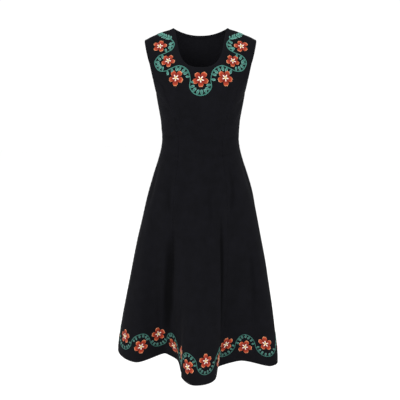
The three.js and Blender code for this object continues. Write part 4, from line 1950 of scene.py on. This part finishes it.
NECK_VINE = (
    VinePlace(Side.FRONT, 0, 219.5, lean=1),
    VinePlace(Side.FRONT, 21.5, 213, lean=1),
    VinePlace(Side.FRONT, 36, 193, lean=0.8),
    VinePlace(Side.FRONT, 34, 167, lean=0),
    VinePlace(Side.FRONT, 42, 138, lean=-1),
    VinePlace(Side.FRONT, 69, 123, lean=-1),
    VinePlace(Side.FRONT, 98, 132, lean=-1),
    VinePlace(Side.FRONT, 116, 141, lean=0),
    VinePlace(Side.FRONT, 142, 139, lean=1),
    VinePlace(Side.FRONT, 155, 115, lean=1),
    VinePlace(Side.FRONT, 142, 93, lean=1),
    VinePlace(Side.FRONT, 119, 83, lean=0),
    VinePlace(Side.FRONT, 95, 70, lean=-1),
    VinePlace(Side.FRONT, 88, 53, lean=-1),
    VinePlace(Side.FRONT, 100, 36, lean=-1, both=0.6),
    VinePlace(Side.FRONT, 128, 23, lean=0, both=1),
    VinePlace(Side.BACK, 146, 24, lean=0, both=1),
    VinePlace(Side.BACK, 158, 44, lean=1, both=0),
    VinePlace(Side.BACK, 150, 72, lean=1),
    VinePlace(Side.BACK, 124, 78, lean=0.3),
    VinePlace(Side.BACK, 100, 62, lean=-0.7),
    VinePlace(Side.BACK, 76, 46, lean=-1),
    VinePlace(Side.BACK, 50, 52, lean=-1),
    VinePlace(Side.BACK, 36, 76, lean=0),
    VinePlace(Side.BACK, 28, 102, lean=1),
    VinePlace(Side.BACK, 0, 115, lean=1),
)

NECK_FLOWERS = (
    FlowerPlace(Side.FRONT, 0, 167, turn=0),
    FlowerPlace(Side.FRONT, 82, 163, turn=-3),
    FlowerPlace(Side.FRONT, 108, 107.5, turn=9, radius=25.5, squash=0.88),
    FlowerPlace(Side.FRONT, 137.6, 60, turn=25, radius=25.5, squash=0.86),
    FlowerPlace(Side.BACK, 118, 42, turn=18, radius=25.5, squash=0.88),
    FlowerPlace(Side.BACK, 80, 88, turn=-4),
    FlowerPlace(Side.BACK, 0, 64, turn=0),
)


@dataclass(frozen=True)
class NeckBorder:
    """The vine and flowers round the neckline, in front, over the shoulders and behind."""

    flower: Flower = Flower()
    vine: Vine = Vine()

    def work(self, cloth: Cloth, stitchings: dict[Thread, Stitching], leaves: Stitching, seed: int) -> None:
        """Works the border.

        Args:
            cloth: the cloth.
            stitchings: what collects the stitches of each colour.
            leaves: what collects the leaves' stitches.
            seed: for its small unevenness.
        """
        draw = np.random.default_rng(seed)
        for place in NECK_FLOWERS:
            for hand in (1, -1) if place.x else (1,):
                centre = cloth.level_point(place.side, hand * place.x, place.drop)
                turn = -hand * place.turn * (1 if place.side is Side.FRONT else -1)
                flower = replace(self.flower, radius=place.radius)
                flower.work(FlatGround(cloth, centre, turn, place.squash), stitchings, draw)
        half = [(p, cloth.level_point(p.side, p.x, p.drop)) for p in NECK_VINE]
        mirrored = [(p, point * np.array([-1, 1, 1])) for p, point in half[1:-1]]
        loop = half + mirrored[::-1]
        line, share = round_spline(np.array([point for _, point in loop]))
        lean = sample_loop([p.lean for p, _ in loop], share)
        both = sample_loop([p.both for p, _ in half] + [-p.both for p, _ in mirrored[::-1]], share)
        self.vine.work(cloth, line, lean, both, (stitchings[Thread.GREEN], leaves), draw)


@dataclass(frozen=True)
class BendShift:
    """How far a bend of the hem's vine stands past its even place, in the order round the dress."""

    bend: int
    along: float


@dataclass(frozen=True)
class HemBorder:
    """The waving vine above the hem, with a flower in each bend."""

    flower: Flower = Flower(radius=26.0)
    vine: Vine = Vine(
        cord_half_width=1.15,
        band_width=1.8,
        leaf_length=13.5,
        leaf_half_width=3.9,
        leaf_spacing=16.4,
        bright=0.66,
    )
    half_wave: float = 72.5
    middle: float = 70.0
    swing: float = 34.0
    roundness: float = 0.85
    low_flower: float = 57.0
    high_flower: float = 84.0
    start_turn: float = -3.7
    shifts: tuple[BendShift, ...] = (
        BendShift(bend=-6, along=-10),
        BendShift(bend=-5, along=9),
        BendShift(bend=-4, along=13),
        BendShift(bend=-3, along=8),
        BendShift(bend=-2, along=1),
        BendShift(bend=-1, along=9),
        BendShift(bend=0, along=2),
        BendShift(bend=1, along=-4),
        BendShift(bend=2, along=9),
        BendShift(bend=3, along=-1),
        BendShift(bend=4, along=-3),
        BendShift(bend=5, along=-1),
        BendShift(bend=6, along=17),
    )

    def work(self, cloth: Cloth, stitchings: dict[Thread, Stitching], leaves: Stitching, seed: int) -> None:
        """Works the border.

        Args:
            cloth: the cloth.
            stitchings: what collects the stitches of each colour.
            leaves: what collects the leaves' stitches.
            seed: for its small unevenness.
        """
        draw = np.random.default_rng(seed)
        chart = HemChart(cloth, self.start_turn)
        bends = 2 * round(chart.length / self.half_wave / 2)
        pitch = chart.length / bends
        numbers, shifts = column(self.shifts, "bend", "along")

        def place(bend: Array | float) -> Array:
            """Gives how far round the dress a bend stands."""
            return pitch * bend + np.interp(bend, numbers, shifts, period=bends)

        for i in range(bends):
            low = i % 2 == 0
            turn = (0 if low else 180) + draw.normal(3, 6)
            above = self.low_flower if low else self.high_flower
            self.flower.work(HemGround(chart, float(place(i)), above, turn), stitchings, draw)
        phase = np.linspace(0, math.pi * bends, 60 * bends + 1)[:-1]
        bend = np.round(phase / math.pi)
        share = phase / math.pi - bend
        along = place(bend + mix(share, 0.5 * np.sin(math.pi * share), self.roundness))
        above = self.middle + self.swing * np.cos(phase)
        line, _ = chart.points(along, above)
        lean = -np.cos(phase)
        self.vine.work(cloth, line, lean, 0 * lean, (stitchings[Thread.GREEN], leaves), draw)
        LOG.info("hem: %d bends of %.1f mm round %.0f mm", bends, pitch, chart.length)


def sample_loop(values: Sequence[float], share: Array) -> Array:
    """Reads values given at the points of a closed loop, between those points.

    Args:
        values: one value for each point.
        share: places round the loop, in points.

    Returns:
        The value at each place.
    """
    return np.interp(share, np.arange(len(values) + 1), [*values, values[0]])


def round_spline(points: Array, steps: int = 16) -> tuple[Array, Array]:
    """Runs a smooth closed curve through points.

    Args:
        points: the points, in order round the loop.
        steps: samples between two of them.

    Returns:
        The curve's points, and each one's place round the loop, in points.
    """
    count = len(points)
    gap = np.sqrt(np.linalg.norm(np.roll(points, -1, axis=0) - points, axis=1))
    line, share = [], []
    for i in range(count):
        p = [points[(i + k) % count] for k in (-1, 0, 1, 2)]
        t = np.concatenate([[0], np.cumsum([gap[(i + k) % count] for k in (-1, 0, 1)])])
        for step in range(steps):
            at = t[1] + (t[2] - t[1]) * step / steps
            near = [mix(p[k], p[k + 1], (at - t[k]) / (t[k + 1] - t[k])) for k in range(3)]
            wide = [mix(near[k], near[k + 1], (at - t[k]) / (t[k + 2] - t[k])) for k in range(2)]
            line.append(mix(wide[0], wide[1], (at - t[1]) / (t[2] - t[1])))
            share.append(i + step / steps)
    return np.array(line), np.array(share)


class Embroidery:
    """Both borders, as raised stitches in five colours."""

    def __init__(self, cloth: Cloth) -> None:
        """Works both borders on the cloth.

        Args:
            cloth: the cloth.
        """
        self.stitchings: list[Stitching] = []
        for where, border, seed in (("neck", NeckBorder(), 3), ("hem", HemBorder(), 8)):
            named = {
                Thread.ORANGE: Stitching(f"{where}_petals", Thread.ORANGE),
                Thread.RED: Stitching(f"{where}_hearts", Thread.RED),
                Thread.WHITE: Stitching(f"{where}_rays", Thread.WHITE),
                Thread.YELLOW: Stitching(f"{where}_knots", Thread.YELLOW),
                Thread.GREEN: Stitching(f"{where}_stem", Thread.GREEN),
            }
            leaves = Stitching(f"{where}_leaves", Thread.GREEN)
            border.work(cloth, named, leaves, seed)
            self.stitchings += [*named.values(), leaves]

    def build(self, materials: dict[Thread, bpy.types.Material]) -> list[bpy.types.Object]:
        """Makes the pieces.

        Args:
            materials: the thread of each colour.

        Returns:
            The pieces.
        """
        return [stitching.build(materials[stitching.thread]) for stitching in self.stitchings]


# --------------------------------------------------------------------------------------------------
# Studio
# --------------------------------------------------------------------------------------------------


@dataclass(frozen=True)
class Lamp:
    """A soft box: where it stands, what it points at, its size and its power."""

    name: str
    place: tuple[float, float, float]
    target: tuple[float, float, float]
    size: float
    power: float


@dataclass(frozen=True)
class Studio:
    """A white room with a pale floor, soft boxes all round, and the camera."""

    room_strength: float = 1.05
    floor_level: float = -1.62
    floor_radius: float = 9.0
    floor_sides: int = 96
    camera_distance: float = 2.2
    camera_height: float = -0.10
    camera_offset: float = -0.0018
    camera_pitch: float = 12.86
    lens: float = 55.82
    sensor: float = 36.0
    lamps: tuple[Lamp, ...] = (
        Lamp("key_softbox", (-1.5, -2.4, 1.5), (0, 0, -0.5), 1.6, 30),
        Lamp("fill_softbox", (1.9, -2.2, 0.6), (0, 0, -0.6), 1.8, 12),
        Lamp("left_rim_softbox", (-2.2, 1.6, 0.8), (0, 0, -0.6), 1.2, 6),
        Lamp("right_rim_softbox", (2.2, 1.6, 0.8), (0, 0, -0.6), 1.2, 6),
        Lamp("top_softbox", (0, 0.4, 2.4), (0, 0, -0.5), 2.2, 20),
    )

    def build(self) -> None:
        """Sets up the floor, the lights and the camera."""
        self.floor()
        for lamp in self.lamps:
            self.light(lamp)
        self.surroundings()
        self.camera()

    def floor(self) -> None:
        """Makes the floor, a wide disc of white paper."""
        material, tree, output = new_material("white_paper_floor")
        spot = add_node(tree, "TexCoord").outputs["Object"]
        grain = add_node(tree, "TexNoise", {"Scale": 60.0, "Detail": 2.0}, Vector=spot)
        tone = add_node(
            tree,
            "Mix",
            {"data_type": "RGBA", 6: linear("#f7f7f7"), 7: linear("#fbfbfb")},
            i0=grain.outputs["Fac"],
        )
        paper = add_node(tree, "BsdfPrincipled", {"Roughness": 0.95}, Base_Color=tone.outputs[2])
        tree.links.new(paper.outputs["BSDF"], output.inputs["Surface"])
        radius, sides = self.floor_radius, self.floor_sides
        aims = np.linspace(0, math.tau, sides + 1)[:-1]
        ring = [(radius * math.cos(a), radius * math.sin(a), 0.0) for a in aims]
        mesh = bpy.data.meshes.new("floor")
        mesh.from_pydata(ring, [], [list(range(sides))])
        mesh.materials.append(material)
        floor = bpy.data.objects.new("floor", mesh)
        floor.location.z = self.floor_level
        bpy.context.scene.collection.objects.link(floor)

    def light(self, lamp: Lamp) -> None:
        """Hangs one soft box.

        Args:
            lamp: its sizes.
        """
        data = bpy.data.lights.new(lamp.name, "AREA")
        data.shape, data.size, data.energy = "SQUARE", lamp.size, lamp.power
        light = bpy.data.objects.new(lamp.name, data)
        light.location = lamp.place
        aim = Vector(lamp.target) - Vector(lamp.place)
        light.rotation_euler = aim.to_track_quat("-Z", "Y").to_euler()
        bpy.context.scene.collection.objects.link(light)

    def surroundings(self) -> None:
        """Makes the room white."""
        world = bpy.data.worlds.new("white_room")
        world.use_nodes = True
        background = world.node_tree.nodes["Background"]
        background.inputs["Color"].default_value = (1, 1, 1, 1)
        background.inputs["Strength"].default_value = self.room_strength
        bpy.context.scene.world = world
        bpy.context.scene.view_settings.view_transform = "Standard"

    def camera(self) -> None:
        """Stands the camera in front, at the height of the chest, looking down at the dress."""
        data = bpy.data.cameras.new("camera")
        data.lens, data.sensor_width = self.lens, self.sensor
        camera = bpy.data.objects.new("camera", data)
        camera.location = (self.camera_offset, -self.camera_distance, self.camera_height)
        camera.rotation_euler = (math.radians(90 - self.camera_pitch), 0, 0)
        bpy.context.scene.collection.objects.link(camera)
        bpy.context.scene.camera = camera


def main() -> None:
    """Builds the studio and the dress."""
    Studio().build()
    LOG.info("studio: floor, soft boxes and camera")
    cloth = Cloth(DressForm())
    LOG.info("cloth: %d shared points", len(cloth.points))
    knit = DoubleKnit().build()
    for cut in CUT_PANELS:
        panel = cloth.panel(cut, knit)
        LOG.info("%s: %d faces", panel.name, len(panel.data.polygons))
    floss = {thread.thread: thread.build() for thread in THREADS}
    for piece in Embroidery(cloth).build(floss):
        LOG.info("%s: %d faces", piece.name, len(piece.data.polygons))


if __name__ == "__main__":
    logging.basicConfig(level=logging.INFO, format="%(name)s: %(message)s")
    main()
